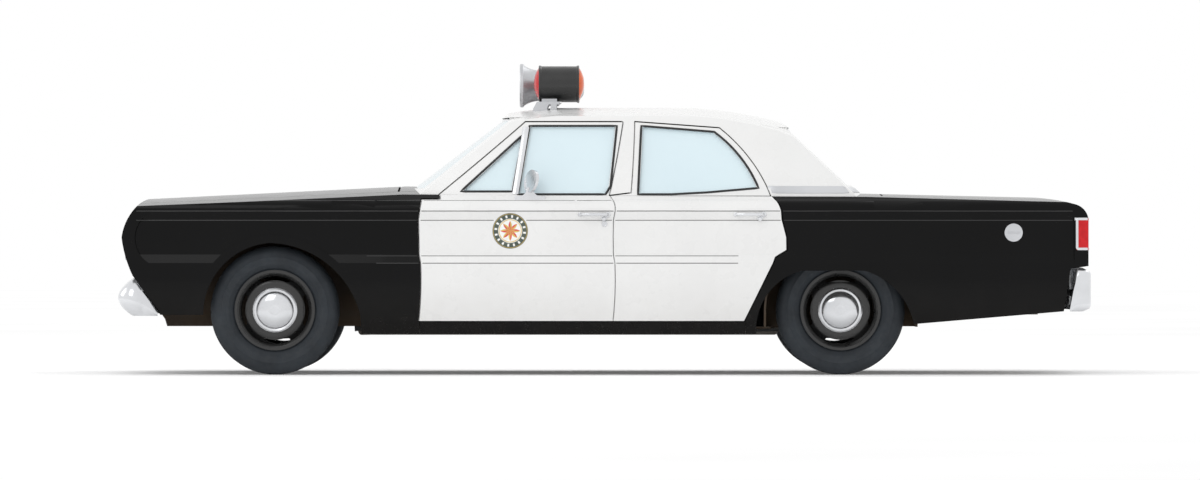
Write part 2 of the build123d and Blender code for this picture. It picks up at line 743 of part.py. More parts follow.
def knuckle_shape():
    """Driver's side upright with its stub axle, backing plate and steering arm."""
    x = FRONT_AXLE_X
    w = KINGPIN_W
    low, high = KINGPIN_Z
    post = rod((x, -w, low), (x, -w, high), 20)
    boss = rod((x, -w + 20, TYRE_RADIUS), (x, -w - 16, TYRE_RADIUS), 45)
    plate = rod((x, -w - 16, TYRE_RADIUS), (x, -w - 20, TYRE_RADIUS), BACKING_RADIUS)
    stub = rod((x, -w, TYRE_RADIUS), (x, -FRONT_TRACK / 2 - 10, TYRE_RADIUS), STUB_RADIUS)
    end = (x + ARM_END[0], ARM_END[1])
    bar = flat_bar((x, -w), end, 26, ARM_Z)
    eye = Pos(end[0], end[1], sum(ARM_Z) / 2) * Cylinder(EYE_RADIUS, ARM_Z[1] - ARM_Z[0])
    return post + boss + plate + stub + bar + eye


def flat_bar(a, b, width, z):
    """A flat bar between two points of a plan."""
    length = hypot(b[0] - a[0], b[1] - a[1])
    turn = degrees(atan2(b[1] - a[1], b[0] - a[0]))
    centre = ((a[0] + b[0]) / 2, (a[1] + b[1]) / 2, (z[0] + z[1]) / 2)
    return Pos(*centre) * Rot(0, 0, turn) * Box(length, width, z[1] - z[0])


def steering_link():
    """Rod that joins both steering arms, with an eye under each."""
    x = arm_x(ARM_END[0])
    low, high = LINK_Z
    bar = rod((x, ARM_END[1], (low + high) / 2 - 1), (x, -ARM_END[1], (low + high) / 2 - 1), 6)
    eye = Pos(x, ARM_END[1], (low + high) / 2) * Cylinder(EYE_RADIUS, high - low)
    return bar + eye + other_side(eye)


def front_suspension():
    """Crossmember with a lower and an upper arm at each side."""
    x = FRONT_AXLE_X
    w = KINGPIN_W
    low, high = KINGPIN_Z
    beam = block((x - 70, x + 70), (-WING_WALL_W, WING_WALL_W), (196, BEAM_TOP_Z))
    lower = outline(LEVEL, (x - 80, -430), (x - 24, -w - 12), (x + 24, -w - 12), (x + 80, -430))
    lower = Pos(0, 0, low - 26) * extrude(lower, amount=25.5)
    upper = outline(LEVEL, (x - 70, -WING_WALL_W - 8.3), (x - 20, -w - 12), (x + 20, -w - 12), (x + 70, -WING_WALL_W - 8.3))
    upper = Pos(0, 0, high + 0.4) * extrude(upper, amount=22)
    w = COIL_W
    spring = rod((x, -w, low - 0.2), (x, -w, high + 0.1), COIL_RADIUS) - rod((x, -w, 200), (x, -w, high + 10), COIL_RADIUS - 14)
    return Compound(children=[*(beam + lower + other_side(lower)).solids(), *both(upper + spring).solids()])


# Rear axle, springs and drive

SPRING_W = 540.0
LEAF_T = 8.0
NOSE_LENGTH = 190.0
SPRING_POINTS = ((610.0, 222.0), (1229.0, 252.0), (1870.0, 335.0))


def rear_axle():
    """Axle tube with the differential, backing plates and shafts."""
    x, z = REAR_AXLE_X, TYRE_RADIUS
    half = REAR_TRACK / 2
    tube = rod((x, -half + 44, z), (x, half - 44, z), 38)
    centre = Pos(x, 0, z) * Sphere(104) & block((x - 90, x + 98), (-92, 92), (0, 700))
    nose = rod((x - 60, 0, z), (x - NOSE_LENGTH, 0, z), 75, 45)
    plate = rod((x, -half + 44, z), (x, -half + 38, z), DRUM_RADIUS - 4)
    stub = rod((x, -half + 60, z), (x, -half - 10, z), STUB_RADIUS)
    pad = block((x - 40, x + 40), (-SPRING_W - 34, 34 - SPRING_W), (SPRING_POINTS[1][1] + LEAF_T, z))
    pad -= leaf_springs()
    ends = plate + stub + heaviest(pad)
    return tube + centre + nose + ends + other_side(ends)


def leaf_springs():
    """A pack of leaves at each side, hung from the floor."""
    (x0, z0), (x1, z1), (x2, z2) = SPRING_POINTS
    t = LEAF_T
    leaves = across_to(30, (x0, z0), ((x1, z1), (x2, z2)), (x2, z2 + t), ((x1, z1 + t), (x0, z0 + t)))
    for step in (1, 2, 3):
        a = 150.0 * step
        drop = t * step
        lift = a * 0.05
        leaves += across_to(
            30, (x0 + a, z0 + lift - drop), ((x1, z1 - drop), (x2 - a, z2 - 2.1 * lift - drop)), (x2 - a, z2 - 2.1 * lift),
            ((x1, z1), (x0 + a, z0 + lift)),
        )
    leaves += rod((x0, -34, z0), (x0, 34, z0), 17)
    leaves += block((x0 - 14, x0 + 14), (-30, 30), (z0, FLOOR_Z - FLOOR_WALL))
    leaves += rod((x2, -34, z2), (x2, 34, z2), 17)
    leaves += block((x2 - 12, x2 + 12), (-30, 30), (z2, BOOT_FLOOR_Z - FLOOR_WALL))
    return both(Pos(0, -SPRING_W, 0) * leaves)


SHAFT_Z = 330.0
GEARBOX_END_X = -560.0


def engine():
    """Vee engine as one plain mass, with its gearbox."""
    profile = outline(
        AHEAD, (-110, 262), (110, 262), (150, 420), (250, 560), (290, 660), (210, 730), (90, 640), (-90, 640),
        (-210, 730), (-290, 660), (-250, 560), (-150, 420),
    )
    block_x = (-1980.0, -1290.0)
    mass = Pos(block_x[1], 0, 0) * extrude(profile, amount=block_x[1] - block_x[0], dir=(-1, 0, 0))
    cleaner = Pos(-1640, 0, 755) * Cylinder(190, 60) + Pos(-1640, 0, 680) * Cylinder(70, 100)
    box = rod((-1320, 0, SHAFT_Z), (-1090, 0, SHAFT_Z), 112, 85) + rod((-1095, 0, SHAFT_Z), (GEARBOX_END_X, 0, SHAFT_Z), 80, 55)
    fan = rod((-1960, 0, 520), (-2045, 0, 520), 60) + rod((-2040, 0, 520), (-2052, 0, 520), 190)
    foot = block((FRONT_AXLE_X - 30, FRONT_AXLE_X + 30), (60, 180), (BEAM_TOP_Z + SEAT_GAP, 310))
    return mass + cleaner + box + fan + both(foot)


def radiator():
    core = block((-2190, -2130), (-330, 330), (340, 700))
    tank = block((-2200, -2120), (-320, 320), (700, 800))
    frame = block((-2205, -2190), (-RAIL_IN_W, RAIL_IN_W), (340, 800)) - block((-2300, -2100), (-300, 300), (380, 700))
    return core + tank + frame


def propshaft():
    return rod((GEARBOX_END_X + SEAT_GAP + 0.2, 0, SHAFT_Z), (REAR_AXLE_X - NOSE_LENGTH - SEAT_GAP - 0.2, 0, TYRE_RADIUS), 36)


EXHAUST_Y = 430.0
PIPE_RADIUS = 20.0
PIPE_Z = 216.0
PIPE_HIGH_Z = 425.0
TAILPIPE_Z = 366.0
SILENCER = (440.0, 110.0, 90.0)
SILENCER_X = 1970.0


def exhaust():
    """Pipe that rises over the rear axle to its silencer, on the passenger's side."""
    y = EXHAUST_Y
    route = (
        (-1340, 178, 430), (-1290, 320, PIPE_Z), (-1230, y, PIPE_Z), (905, y, PIPE_Z), (1075, y, PIPE_HIGH_Z),
        (1400, y, PIPE_HIGH_Z), (1600, y, TAILPIPE_Z), (2300, y, TAILPIPE_Z),
    )
    pipe = rod(route[0], route[1], PIPE_RADIUS)
    for a, b in zip(route[1:], route[2:]):
        pipe += Pos(*a) * Sphere(PIPE_RADIUS) + rod(a, b, PIPE_RADIUS)
    can = Pos(SILENCER_X, y, TAILPIPE_Z) * Box(*SILENCER)
    can = fillet(can.edges().filter_by(Axis.X), SILENCER[2] / 2 - 2)
    hangers = block((180, 190), (y - 15, y + 15), (PIPE_Z, FLOOR_Z - FLOOR_WALL))
    hangers += block((2230, 2240), (y - 15, y + 15), (TAILPIPE_Z, BOOT_FLOOR_Z - FLOOR_WALL))
    return pipe + can + hangers


def fuel_tank():
    low = BOOT_FLOOR_Z - FLOOR_WALL - 0.3
    tank = block((1760, 2280), (-340, 340), (low - 150, low))
    tank = fillet(tank.edges().filter_by(Axis.Z), 50)
    seam = block((1745, 2295), (-355, 355), (low - 78, low - 72))
    return tank + fillet(seam.edges().filter_by(Axis.Z), 50)


# Bumpers

FRONT_BUMPER_Z = (307.0, 514.0)
REAR_BUMPER_Z = (330.0, 557.0)
BUMPER_WALL = 12.0
BUMPER_BOW = 20000.0


def front_bumper():
    """Bar with a rounded face and ends turned back along the wings."""
    low, high = FRONT_BUMPER_Z
    tip = NOSE_X
    face = outline(
        FLANK, (tip + 170, low), (tip + 90, low), ((tip + 26, low + 38), (tip, (low + high) / 2)),
        ((tip + 20, high - 34), (tip + 72, high)), (tip + 72, high - BUMPER_WALL),
        ((tip + 30, high - 44), (tip + BUMPER_WALL, (low + high) / 2)),
        ((tip + 36, low + 46), (tip + 90, low + BUMPER_WALL)), (tip + 170, low + BUMPER_WALL),
    )
    bar = bowed(face, (tip + BUMPER_BOW, 0, 0), 4) & block((-2700, -2200), (-925, 925), (0, 900))
    wing = outline(
        FLANK, (tip + 60, high - 20), (tip + 113, high - 30), (tip + 231, low + 20), (tip + 200, low), (tip + 60, low + 20),
    )
    side = Pos(0, -925, 0) * extrude(wing, amount=14, dir=(0, 1, 0))
    iron = block((tip + 20, -2300), (-440, -400), (310, 340)) - body_solid(0)
    return bar + side + other_side(side) + iron + other_side(iron)


def rear_bumper():
    low, high = REAR_BUMPER_Z
    tip = TAIL_X
    inner = tip - 14
    face = outline(
        FLANK, (tip - 130, low), (tip - 40, low), ((tip - 12, low + 14), (tip, low + 50)), (tip, high - 40),
        ((tip - 4, high - 12), (inner, high)), (inner, low + 60), ((tip - 22, low + 24), (tip - 45, low + BUMPER_WALL)),
        (tip - 130, low + BUMPER_WALL),
    )
    bar = bowed(face, (tip - BUMPER_BOW, 0, 0), 4) & block((2200, 2700), (-920, 920), (0, 900))
    wing = outline(FLANK, (tip - 60, high - 20), (tip - 102, high - 4), (tip - 134, low + 10), (tip - 110, low), (tip - 60, low + 20))
    side = Pos(0, -920, 0) * extrude(wing, amount=14, dir=(0, 1, 0))
    iron = block((2380, tip - 14), (-540, -500), (400, 440)) - body_solid(0)
    return bar + side + other_side(side) + iron + other_side(iron)


# Front and rear lamps and the grille

LAMP_RADIUS = 73.0
LAMP_Z = 677.0
LAMP_PLACES = (540.0, 700.0)
BAR_COUNT = 7


def grille():
    """Lamp panels and curved bars set back in the nose opening."""
    panel = ring(nose_solid, 40, 52) & block((-2700, -2300), (-GRILLE_W, -455), (GRILLE_LOW_Z, GRILLE_HIGH_Z))
    bezels = []
    for w in LAMP_PLACES:
        hole = rod((-2600, -w, LAMP_Z), (-2300, -w, LAMP_Z), LAMP_RADIUS)
        panel -= hole
        bezels.append((rod((-2500, -w, LAMP_Z), (-2462, -w, LAMP_Z), LAMP_RADIUS + 8) - hole))
    for piece in bezels:
        panel += piece
    parts = panel + other_side(panel)
    pitch = (GRILLE_HIGH_Z - GRILLE_LOW_Z) / (BAR_COUNT + 1)
    levels = [GRILLE_LOW_Z + pitch * (i + 1) for i in range(BAR_COUNT)]
    reach = (-2700, -2300)
    slabs = Compound(children=[block(reach, (-460, 460), (z - 5, z + 5)) for z in levels])
    stays = Compound(children=[
        block(reach, (y - 5, y + 5), (GRILLE_LOW_Z, GRILLE_HIGH_Z)) for y in (-300, -150, 0, 150, 300)
    ])
    bars = ring(nose_solid, 30, 55) & slabs
    posts = ring(nose_solid, 50, 62) & stays
    return parts + bars + posts


def headlamps():
    """Four round lamps with domed glass."""
    lamps = []
    for w in LAMP_PLACES:
        body = rod((-2478, -w, LAMP_Z), (-2400, -w, LAMP_Z), LAMP_RADIUS - SEAT_GAP, 45)
        dome = Pos(-2478 + 190, -w, LAMP_Z) * Sphere(204) & rod((-2520, -w, LAMP_Z), (-2478, -w, LAMP_Z), LAMP_RADIUS - SEAT_GAP)
        lamps.append(body + dome)
    return Compound(children=[s for lamp in lamps for s in both(lamp).solids()])


def tail_lamps():
    """Lenses that wrap the rear corners."""
    lens = (body_solid(0) - body_solid(26)) & lamp_block(0)
    return both(lens)


CAP_W = 884.0


def fuel_cap():
    x, z, r = 2128.0, 740.0, 47.0
    surface = CAP_W
    cap = rod((x, -surface + 6, z), (x, -surface - 12, z), r) - block((x - 30, x + 30), (-1100, -surface - 6), (z - 6, z + 6))
    return cap - side_solid(0, True)




# Cabin fittings

WHEEL_CENTRE = (-560.0, -400.0, 800.0)
COLUMN_TILT = 25.0
STEERING_RADIUS = 205.0


def column_plane(distance):
    a = radians(COLUMN_TILT)
    x, y, z = WHEEL_CENTRE
    return Plane(
        origin=(x + distance * cos(a), y, z + distance * sin(a)), x_dir=(0, -1, 0), z_dir=(cos(a), 0, sin(a))
    )


def dashboard():
    """Instrument panel across the cabin with the steering column."""
    profile = outline(
        FLANK, (-960, 910), (-780, 905), ((-742, 895), (-730, 860)), (-752, 770), (-800, 700), (-960, 700)
    )
    body = extrude(profile, amount=780, both=True)
    hood = outline(FLANK, (-860, 900), ((-780, 945), (-722, 932)), (-716, 912), (-720, 850), (-860, 850))
    body += Pos(0, -400, 0) * extrude(hood, amount=210, both=True)
    body += block((FIREWALL_X, -950), (-700, 700), (800, 840))
    column = column_plane(-30.3 - 480) * Pos(0, 0, 240) * Cylinder(22, 480)
    return body + column


def steering_wheel():
    rim = column_plane(0) * Torus(STEERING_RADIUS, 12)
    hub = column_plane(-30) * Pos(0, 0, 20) * Cylinder(38, 40)
    bar = column_plane(-6) * Box(2 * STEERING_RADIUS, 30, 10)
    horn = column_plane(-2) * (Cylinder(130, 6) - Cylinder(120, 8))
    return rim + hub + bar + horn


def front_seat():
    """Bench with its back, on a steel base."""
    face = outline(
        FLANK, (-470, 440), (-490, 500), ((-480, 545), (-430, 550)), (40, 520), (150, 940), ((190, 975), (232, 950)),
        (150, 440),
    )
    seat = extrude(face, amount=680, both=True)
    return seat


def front_seat_base():
    """Steel risers under the front bench."""
    riser = block((-430, 110), (-640, -600), (FLOOR_Z, 439.7)) + block((-430, 110), (-240, -200), (FLOOR_Z, 439.7))
    return both(riser)


def rear_seat():
    face = outline(
        FLANK, (470, FLOOR_Z + 0.3), (450, 480), ((462, 518), (500, 522)), (930, 500), (1040, 900), ((1075, 925), (1110, 903)),
        (1159, 903), (1159, BOOT_FLOOR_Z + 0.3), (958, BOOT_FLOOR_Z + 0.3), (858, FLOOR_Z + 0.3),
    )
    seat = extrude(face, amount=700, both=True)
    house = wheelhouse_block(WHEELHOUSE_RADIUS + 0.5, WHEELHOUSE_W - 0.5)
    return seat - house - other_side(house) - tunnel_rod(TUNNEL_RADIUS + FLOOR_WALL + 0.5)


# Roof gear

CAN_RADIUS = 96.0
CAN_X = (-346.0, -133.0)
CAN_W = 230.0
CAN_Z = 1525.0
CAN_RIM = 8.0
BRACKET_Z = (1414.0, 1428.8)
LENS_RADIUS = 84.0
LENS_DEPTH = 26.0
SIREN_Z = 1518.0


def beacon_bracket():
    """Bar across the roof on splayed feet, with saddles for the beacons and a post for the siren."""
    low, high = BRACKET_Z
    fore = across_to(30, (-380, 1340), (-300, 1340), (-300, 1400), (-285, high), (-355, high), (-375, 1392))
    aft = across_to(30, (-292, 1340), (-251, 1340), (-251, low), (-226, high), (-280, high))
    foot = Pos(0, -300, 0) * (fore + aft)
    feet = (foot + other_side(foot)) - roof_profile(0)
    bar = block((-340, -240), (-330, 330), (low, high))
    saddle = block((-330, -250), (-CAN_W - 45, 45 - CAN_W), (low, CAN_Z))
    saddle -= rod((-500, -CAN_W, CAN_Z), (0, -CAN_W, CAN_Z), CAN_RADIUS - 4)
    post = block((-330, -250), (-22, 22), (low, SIREN_Z)) - siren_horn()
    post = min(post.solids(), key=lambda solid: solid.center().Z)
    return feet + bar + saddle + other_side(saddle) + post


def can_axis(x, direction):
    """Sketch plane of one beacon: along its axis, then out from it."""
    return Plane(origin=(x, -CAN_W, CAN_Z), x_dir=(direction, 0, 0), z_dir=(0, -direction, 0))


def beacon_cans():
    """Housings with a raised rim at each end."""
    length = CAN_X[1] - CAN_X[0]
    r = CAN_RADIUS
    face = outline(
        can_axis(CAN_X[0], 1), (0, 0), (0, r - 3), (3, r), (CAN_RIM, r), (CAN_RIM + 8, r - 4), (length - CAN_RIM - 8, r - 4),
        (length - CAN_RIM, r), (length - 3, r), (length, r - 3), (length, 0),
    )
    return both(revolve(face, Axis((0, -CAN_W, CAN_Z), (1, 0, 0)), 360))


def lens_domes(x, direction):
    """Shallow domed lenses on one end of the beacons."""
    ball = (LENS_RADIUS**2 + LENS_DEPTH**2) / (2 * LENS_DEPTH)
    tip = x + direction * LENS_DEPTH
    dome = Pos(tip - direction * ball, -CAN_W, CAN_Z) * Rot(0, 0, 90) * Sphere(ball)
    return both(dome & rod((x, -CAN_W, CAN_Z), (tip + direction, -CAN_W, CAN_Z), LENS_RADIUS + 2))


def siren_horn():
    """Siren with its bell facing ahead."""
    axis = Plane(origin=(0, 0, SIREN_Z), x_dir=(1, 0, 0), z_dir=(0, -1, 0))
    face = outline(
        axis, (-447, 104), (-447, 111), (-443, 115), (-430, 115), (-426, 111), (-426, 108), ((-392, 90), (-346, 81)),
        (-300, 76), (-150, 76), ((-122, 64), (-108, 36)), (-108, 0), (-330, 0), (-330, 70), ((-396, 84), (-434, 104)),
    )
    return revolve(face, Axis((0, 0, SIREN_Z), (1, 0, 0)), 360)


MIRROR_CENTRE = (-380.0, -906.0, 1007.0)
MIRROR_RADIUS = 60.0


def door_mirror():
    """Round mirror on a flared foot that stands on the driver's door."""
    foot = across_to(
        11, (-465, 880), (-309, 880), (-309, 932), ((-362, 944), (-372, 975)), (-402, 975), ((-414, 944), (-465, 932))
    )
    foot = Pos(0, -904, 0) * foot - side_solid(0, False)
    head = Plane(origin=MIRROR_CENTRE, z_dir=(0.84, 0.5, -0.2)) * Cylinder(MIRROR_RADIUS, 16)
    return foot + head


DRIVERS_NODES = {
    "front_left_door": lambda: door_shape(FRONT_DOOR, (VENT_OPENING, FRONT_WINDOW)),
    "rear_left_door": lambda: door_shape(REAR_DOOR, (REAR_WINDOW,)),
    "front_left_glass": lambda: glass_shape((VENT_OPENING, FRONT_WINDOW)),
    "rear_left_glass": lambda: glass_shape((REAR_WINDOW,)),
    "left_knuckle": knuckle_shape,
}

NODES = {
    "underbody": underbody,
    "toe_board": toe_board,
    "tunnel": tunnel,
    "boot_pan": boot_pan,
    "wheelhouses": wheelhouses,
    "inner_wings": inner_wings,
    "cowl": cowl,
    "side_frames": side_frames,
    "rear_bulkhead": rear_bulkhead,
    "roof": roof_shell,
    "front_panels": front_panels,
    "rear_panels": rear_panels,
    "hood": hood_panel,
    "boot_lid": boot_panel,
    "windscreen": lambda: end_glass(SCREEN_OPENING, SCREEN_REACH),
    "rear_window": lambda: end_glass(LIGHT_OPENING, LIGHT_REACH),
    "grille": grille,
    "headlamps": headlamps,
    "tail_lamps": tail_lamps,
    "fuel_cap": fuel_cap,
    "front_bumper": front_bumper,
    "rear_bumper": rear_bumper,
    "engine": engine,
    "radiator": radiator,
    "front_suspension": front_suspension,
    "steering_link": steering_link,
    "rear_axle": rear_axle,
    "leaf_springs": leaf_springs,
    "propshaft": propshaft,
    "exhaust": exhaust,
    "fuel_tank": fuel_tank,
    "dashboard": dashboard,
    "steering_wheel": steering_wheel,
    "front_seat": front_seat,
    "front_seat_base": front_seat_base,
    "rear_seat": rear_seat,
    "beacon_bracket": beacon_bracket,
    "beacon_cans": beacon_cans,
    "red_lenses": lambda: lens_domes(CAN_X[0], -1),
    "amber_lenses": lambda: lens_domes(CAN_X[1], 1),
    "siren_horn": siren_horn,
    "door_mirror": door_mirror,
}


def write_parts():
    """One file for each node, with the driver's side pieces mirrored for the other side."""
    os.makedirs("parts", exist_ok=True)
    for name, make in NODES.items():
        export_step(make(), f"parts/{name}.step")
    for name, make in DRIVERS_NODES.items():
        shape = make()
        export_step(shape, f"parts/{name}.step")
        export_step(other_side(shape), f"parts/{name.replace('left', 'right')}.step")
    tyre = tyre_shape()
    wheel = wheel_shape()
    for name, x, side, track in WHEEL_PLACES:
        export_step(at_wheel(tyre, x, side, track), f"parts/{name}_tyre.step")
        export_step(at_wheel(wheel, x, side, track), f"parts/{name}_wheel.step")


write_parts()
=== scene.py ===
import math

import bmesh
import bpy
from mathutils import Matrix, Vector
from mathutils.bvhtree import BVHTree


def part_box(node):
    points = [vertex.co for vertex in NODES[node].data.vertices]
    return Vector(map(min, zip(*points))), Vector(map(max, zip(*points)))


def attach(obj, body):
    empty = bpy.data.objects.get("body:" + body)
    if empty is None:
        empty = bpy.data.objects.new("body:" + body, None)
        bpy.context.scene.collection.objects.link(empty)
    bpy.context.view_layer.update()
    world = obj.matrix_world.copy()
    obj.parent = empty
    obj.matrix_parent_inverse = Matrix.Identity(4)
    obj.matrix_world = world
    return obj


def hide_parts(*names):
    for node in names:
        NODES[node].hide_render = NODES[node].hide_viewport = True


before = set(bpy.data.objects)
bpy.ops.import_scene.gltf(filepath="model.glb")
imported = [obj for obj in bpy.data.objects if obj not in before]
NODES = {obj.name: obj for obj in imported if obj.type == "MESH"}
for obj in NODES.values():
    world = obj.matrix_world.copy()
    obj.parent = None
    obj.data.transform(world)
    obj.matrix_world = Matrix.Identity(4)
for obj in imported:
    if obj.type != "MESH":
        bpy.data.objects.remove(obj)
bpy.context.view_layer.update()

SCENE = bpy.context.scene
MM = 0.001
CORNERS = ("front_left", "front_right", "rear_left", "rear_right")
LEFT, RIGHT = -1, 1
SIDE_NAMES = {LEFT: "left", RIGHT: "right"}
FRONT_END, REAR_END = -1, 1

# Camera: side on, from far away, as the drawing has no perspective
CAMERA_PLACE = (-0.0234, -52.9, 0.7015)
camera = bpy.data.objects.new("camera", bpy.data.cameras.new("camera"))
camera.data.lens = 300
camera.data.sensor_width = 36
camera.data.clip_end = 400
camera.location = CAMERA_PLACE
camera.rotation_euler = (math.pi / 2, 0, 0)
SCENE.collection.objects.link(camera)
SCENE.camera = camera
SCENE.view_settings.view_transform = "Standard"


# Materials

def noise(tree, coords, scale, detail=4.0):
    """Noise over the object's own coordinates."""
    n = tree.nodes.new("ShaderNodeTexNoise")
    n.inputs["Scale"].default_value = scale
    n.inputs["Detail"].default_value = detail
    tree.links.new(coords.outputs["Object"], n.inputs["Vector"])
    return n.outputs["Fac"]


def ramp(tree, value, stops):
    """A colour that runs through stops, which are pairs of place and colour."""
    r = tree.nodes.new("ShaderNodeValToRGB")
    elements = r.color_ramp.elements
    while len(elements) < len(stops):
        elements.new(0.5)
    for e, (place, colour) in zip(elements, stops):
        e.position = place
        e.color = (*colour, 1)
    tree.links.new(value, r.inputs["Fac"])
    return r.outputs["Color"]


def spread(tree, value, low, high, start=0.3, end=0.7):
    """A value from low to high as the input goes from start to end."""
    m = tree.nodes.new("ShaderNodeMapRange")
    m.inputs["From Min"].default_value = start
    m.inputs["From Max"].default_value = end
    m.inputs["To Min"].default_value = low
    m.inputs["To Max"].default_value = high
    tree.links.new(value, m.inputs["Value"])
    return m.outputs["Result"]


def dusted(tree, coords, colour, dust):
    """The colour with clouds of road dust, most at the sill and none above half a metre."""
    split = tree.nodes.new("ShaderNodeSeparateXYZ")
    tree.links.new(coords.outputs["Object"], split.inputs[0])
    low = spread(tree, split.outputs["Z"], 0.3, 0.0, 0.2, 0.5)
    cloud = noise(tree, coords, 14.0, 8.0)
    amount = tree.nodes.new("ShaderNodeMath")
    amount.operation = "MULTIPLY"
    tree.links.new(low, amount.inputs[0])
    tree.links.new(cloud, amount.inputs[1])
    mix = tree.nodes.new("ShaderNodeMix")
    mix.data_type = "RGBA"
    tree.links.new(amount.outputs[0], mix.inputs["Factor"])
    tree.links.new(colour, mix.inputs[6])
    mix.inputs[7].default_value = (*dust, 1)
    return mix.outputs[2]


def surface(name, dark, light, rough, patch=3.0, grain=500.0, bump=0.0, dust=None, **fixed):
    """A procedural finish: colour drift, uneven gloss, fine grain and, low down, road dust."""
    mat = bpy.data.materials.new(name)
    mat.use_nodes = True
    tree = mat.node_tree
    skin = tree.nodes["Principled BSDF"]
    coords = tree.nodes.new("ShaderNodeTexCoord")
    colour = ramp(tree, noise(tree, coords, patch), ((0.35, dark), (0.65, light)))
    if dust:
        colour = dusted(tree, coords, colour, dust)
    tree.links.new(colour, skin.inputs["Base Color"])
    gloss = spread(tree, noise(tree, coords, patch * 4), rough[0], rough[1])
    tree.links.new(gloss, skin.inputs["Roughness"])
    if bump:
        b = tree.nodes.new("ShaderNodeBump")
        b.inputs["Strength"].default_value = bump
        b.inputs["Distance"].default_value = 0.001
        tree.links.new(noise(tree, coords, grain, 2.0), b.inputs["Height"])
        tree.links.new(b.outputs["Normal"], skin.inputs["Normal"])
    for socket, value in fixed.items():
        skin.inputs[socket.replace("_", " ")].default_value = value
    return mat


BLACK = surface("black paint", (0.0006, 0.0006, 0.0007), (0.0012, 0.0012, 0.0014), (0.19, 0.22),
                dust=(0.03, 0.026, 0.022), bump=0.006, Coat_Weight=0.06, Specular_IOR_Level=0.12)
WHITE = surface("white paint", (0.775, 0.775, 0.77), (0.8, 0.8, 0.795), (0.26, 0.3),
                dust=(0.5, 0.48, 0.44), bump=0.006, Coat_Weight=0.25, Specular_IOR_Level=0.35)
UNDERSEAL = surface("underseal", (0.02, 0.013, 0.008), (0.055, 0.036, 0.02), (0.7, 0.9),
                    bump=0.6, grain=160.0)
CHROME = surface("chrome", (0.62, 0.63, 0.65), (0.74, 0.75, 0.77), (0.12, 0.24), Metallic=0.9)
SATIN = surface("satin metal", (0.5, 0.51, 0.53), (0.62, 0.63, 0.65), (0.3, 0.42), Metallic=0.75, bump=0.05)
RUBBER = surface("tyre rubber", (0.012, 0.016, 0.021), (0.02, 0.026, 0.033), (0.62, 0.8),
                 patch=9.0, bump=0.35, grain=300.0)
SEAL = surface("black seal", (0.006, 0.006, 0.007), (0.012, 0.012, 0.013), (0.45, 0.6), patch=20.0, bump=0.1)
WHEEL = surface("black wheel", (0.002, 0.002, 0.002), (0.006, 0.006, 0.006), (0.25, 0.4),
                patch=12.0, bump=0.05, Coat_Weight=0.4)
GLASS = surface("tinted glass", (0.72, 0.855, 0.91), (0.75, 0.885, 0.935), (0.02, 0.05),
                patch=2.0, Alpha=0.9, Coat_Weight=0.2)
LAMP_GLASS = surface("lamp glass", (0.62, 0.68, 0.7), (0.8, 0.85, 0.87), (0.05, 0.1),
                     patch=60.0, bump=0.5, grain=90.0, Coat_Weight=1.0)
RED = surface("red lens", (0.5, 0.006, 0.01), (0.62, 0.014, 0.018), (0.1, 0.16),
              patch=30.0, bump=0.25, grain=120.0, Coat_Weight=0.15, Specular_IOR_Level=0.2)
AMBER = surface("amber lens", (0.62, 0.085, 0.012), (0.74, 0.13, 0.022), (0.1, 0.16),
                patch=30.0, bump=0.25, grain=120.0, Coat_Weight=0.15, Specular_IOR_Level=0.2)
IRON = surface("cast iron", (0.02, 0.021, 0.022), (0.06, 0.06, 0.06), (0.5, 0.75),
               patch=12.0, bump=0.5, grain=220.0, Metallic=0.4)
STEEL = surface("aged steel", (0.16, 0.14, 0.12), (0.3, 0.28, 0.26), (0.4, 0.65),
                patch=9.0, bump=0.3, Metallic=0.7)
DASH = surface("moulded plastic", (0.02, 0.021, 0.023), (0.032, 0.033, 0.036), (0.45, 0.6),
               patch=5.0, bump=0.3, grain=700.0)
VINYL = surface("seat vinyl", (0.028, 0.029, 0.032), (0.045, 0.046, 0.05), (0.38, 0.55),
                patch=6.0, bump=0.45, grain=420.0, Sheen_Weight=0.15)
CLOTH = surface("headlining", (0.5, 0.49, 0.46), (0.6, 0.585, 0.55), (0.8, 0.95),
                patch=7.0, bump=0.6, grain=600.0, Sheen_Weight=0.3)
GOLD = surface("gold print", (0.62, 0.42, 0.09), (0.72, 0.52, 0.14), (0.35, 0.5), patch=40.0)
GREEN = surface("dark green print", (0.05, 0.07, 0.055), (0.08, 0.1, 0.08), (0.35, 0.5), patch=40.0)
PAPER = surface("white print", (0.82, 0.82, 0.8), (0.9, 0.9, 0.88), (0.35, 0.5), patch=40.0)
SCARLET = surface("red print", (0.6, 0.05, 0.05), (0.7, 0.08, 0.07), (0.35, 0.5), patch=40.0)
CARPET = surface("cabin carpet", (0.012, 0.012, 0.013), (0.03, 0.03, 0.032), (0.85, 1.0),
                 patch=30.0, bump=0.9, grain=900.0, Sheen_Weight=0.3)
MAT = surface("boot mat", (0.02, 0.02, 0.021), (0.045, 0.044, 0.043), (0.6, 0.8),
              patch=6.0, bump=0.6, grain=380.0)

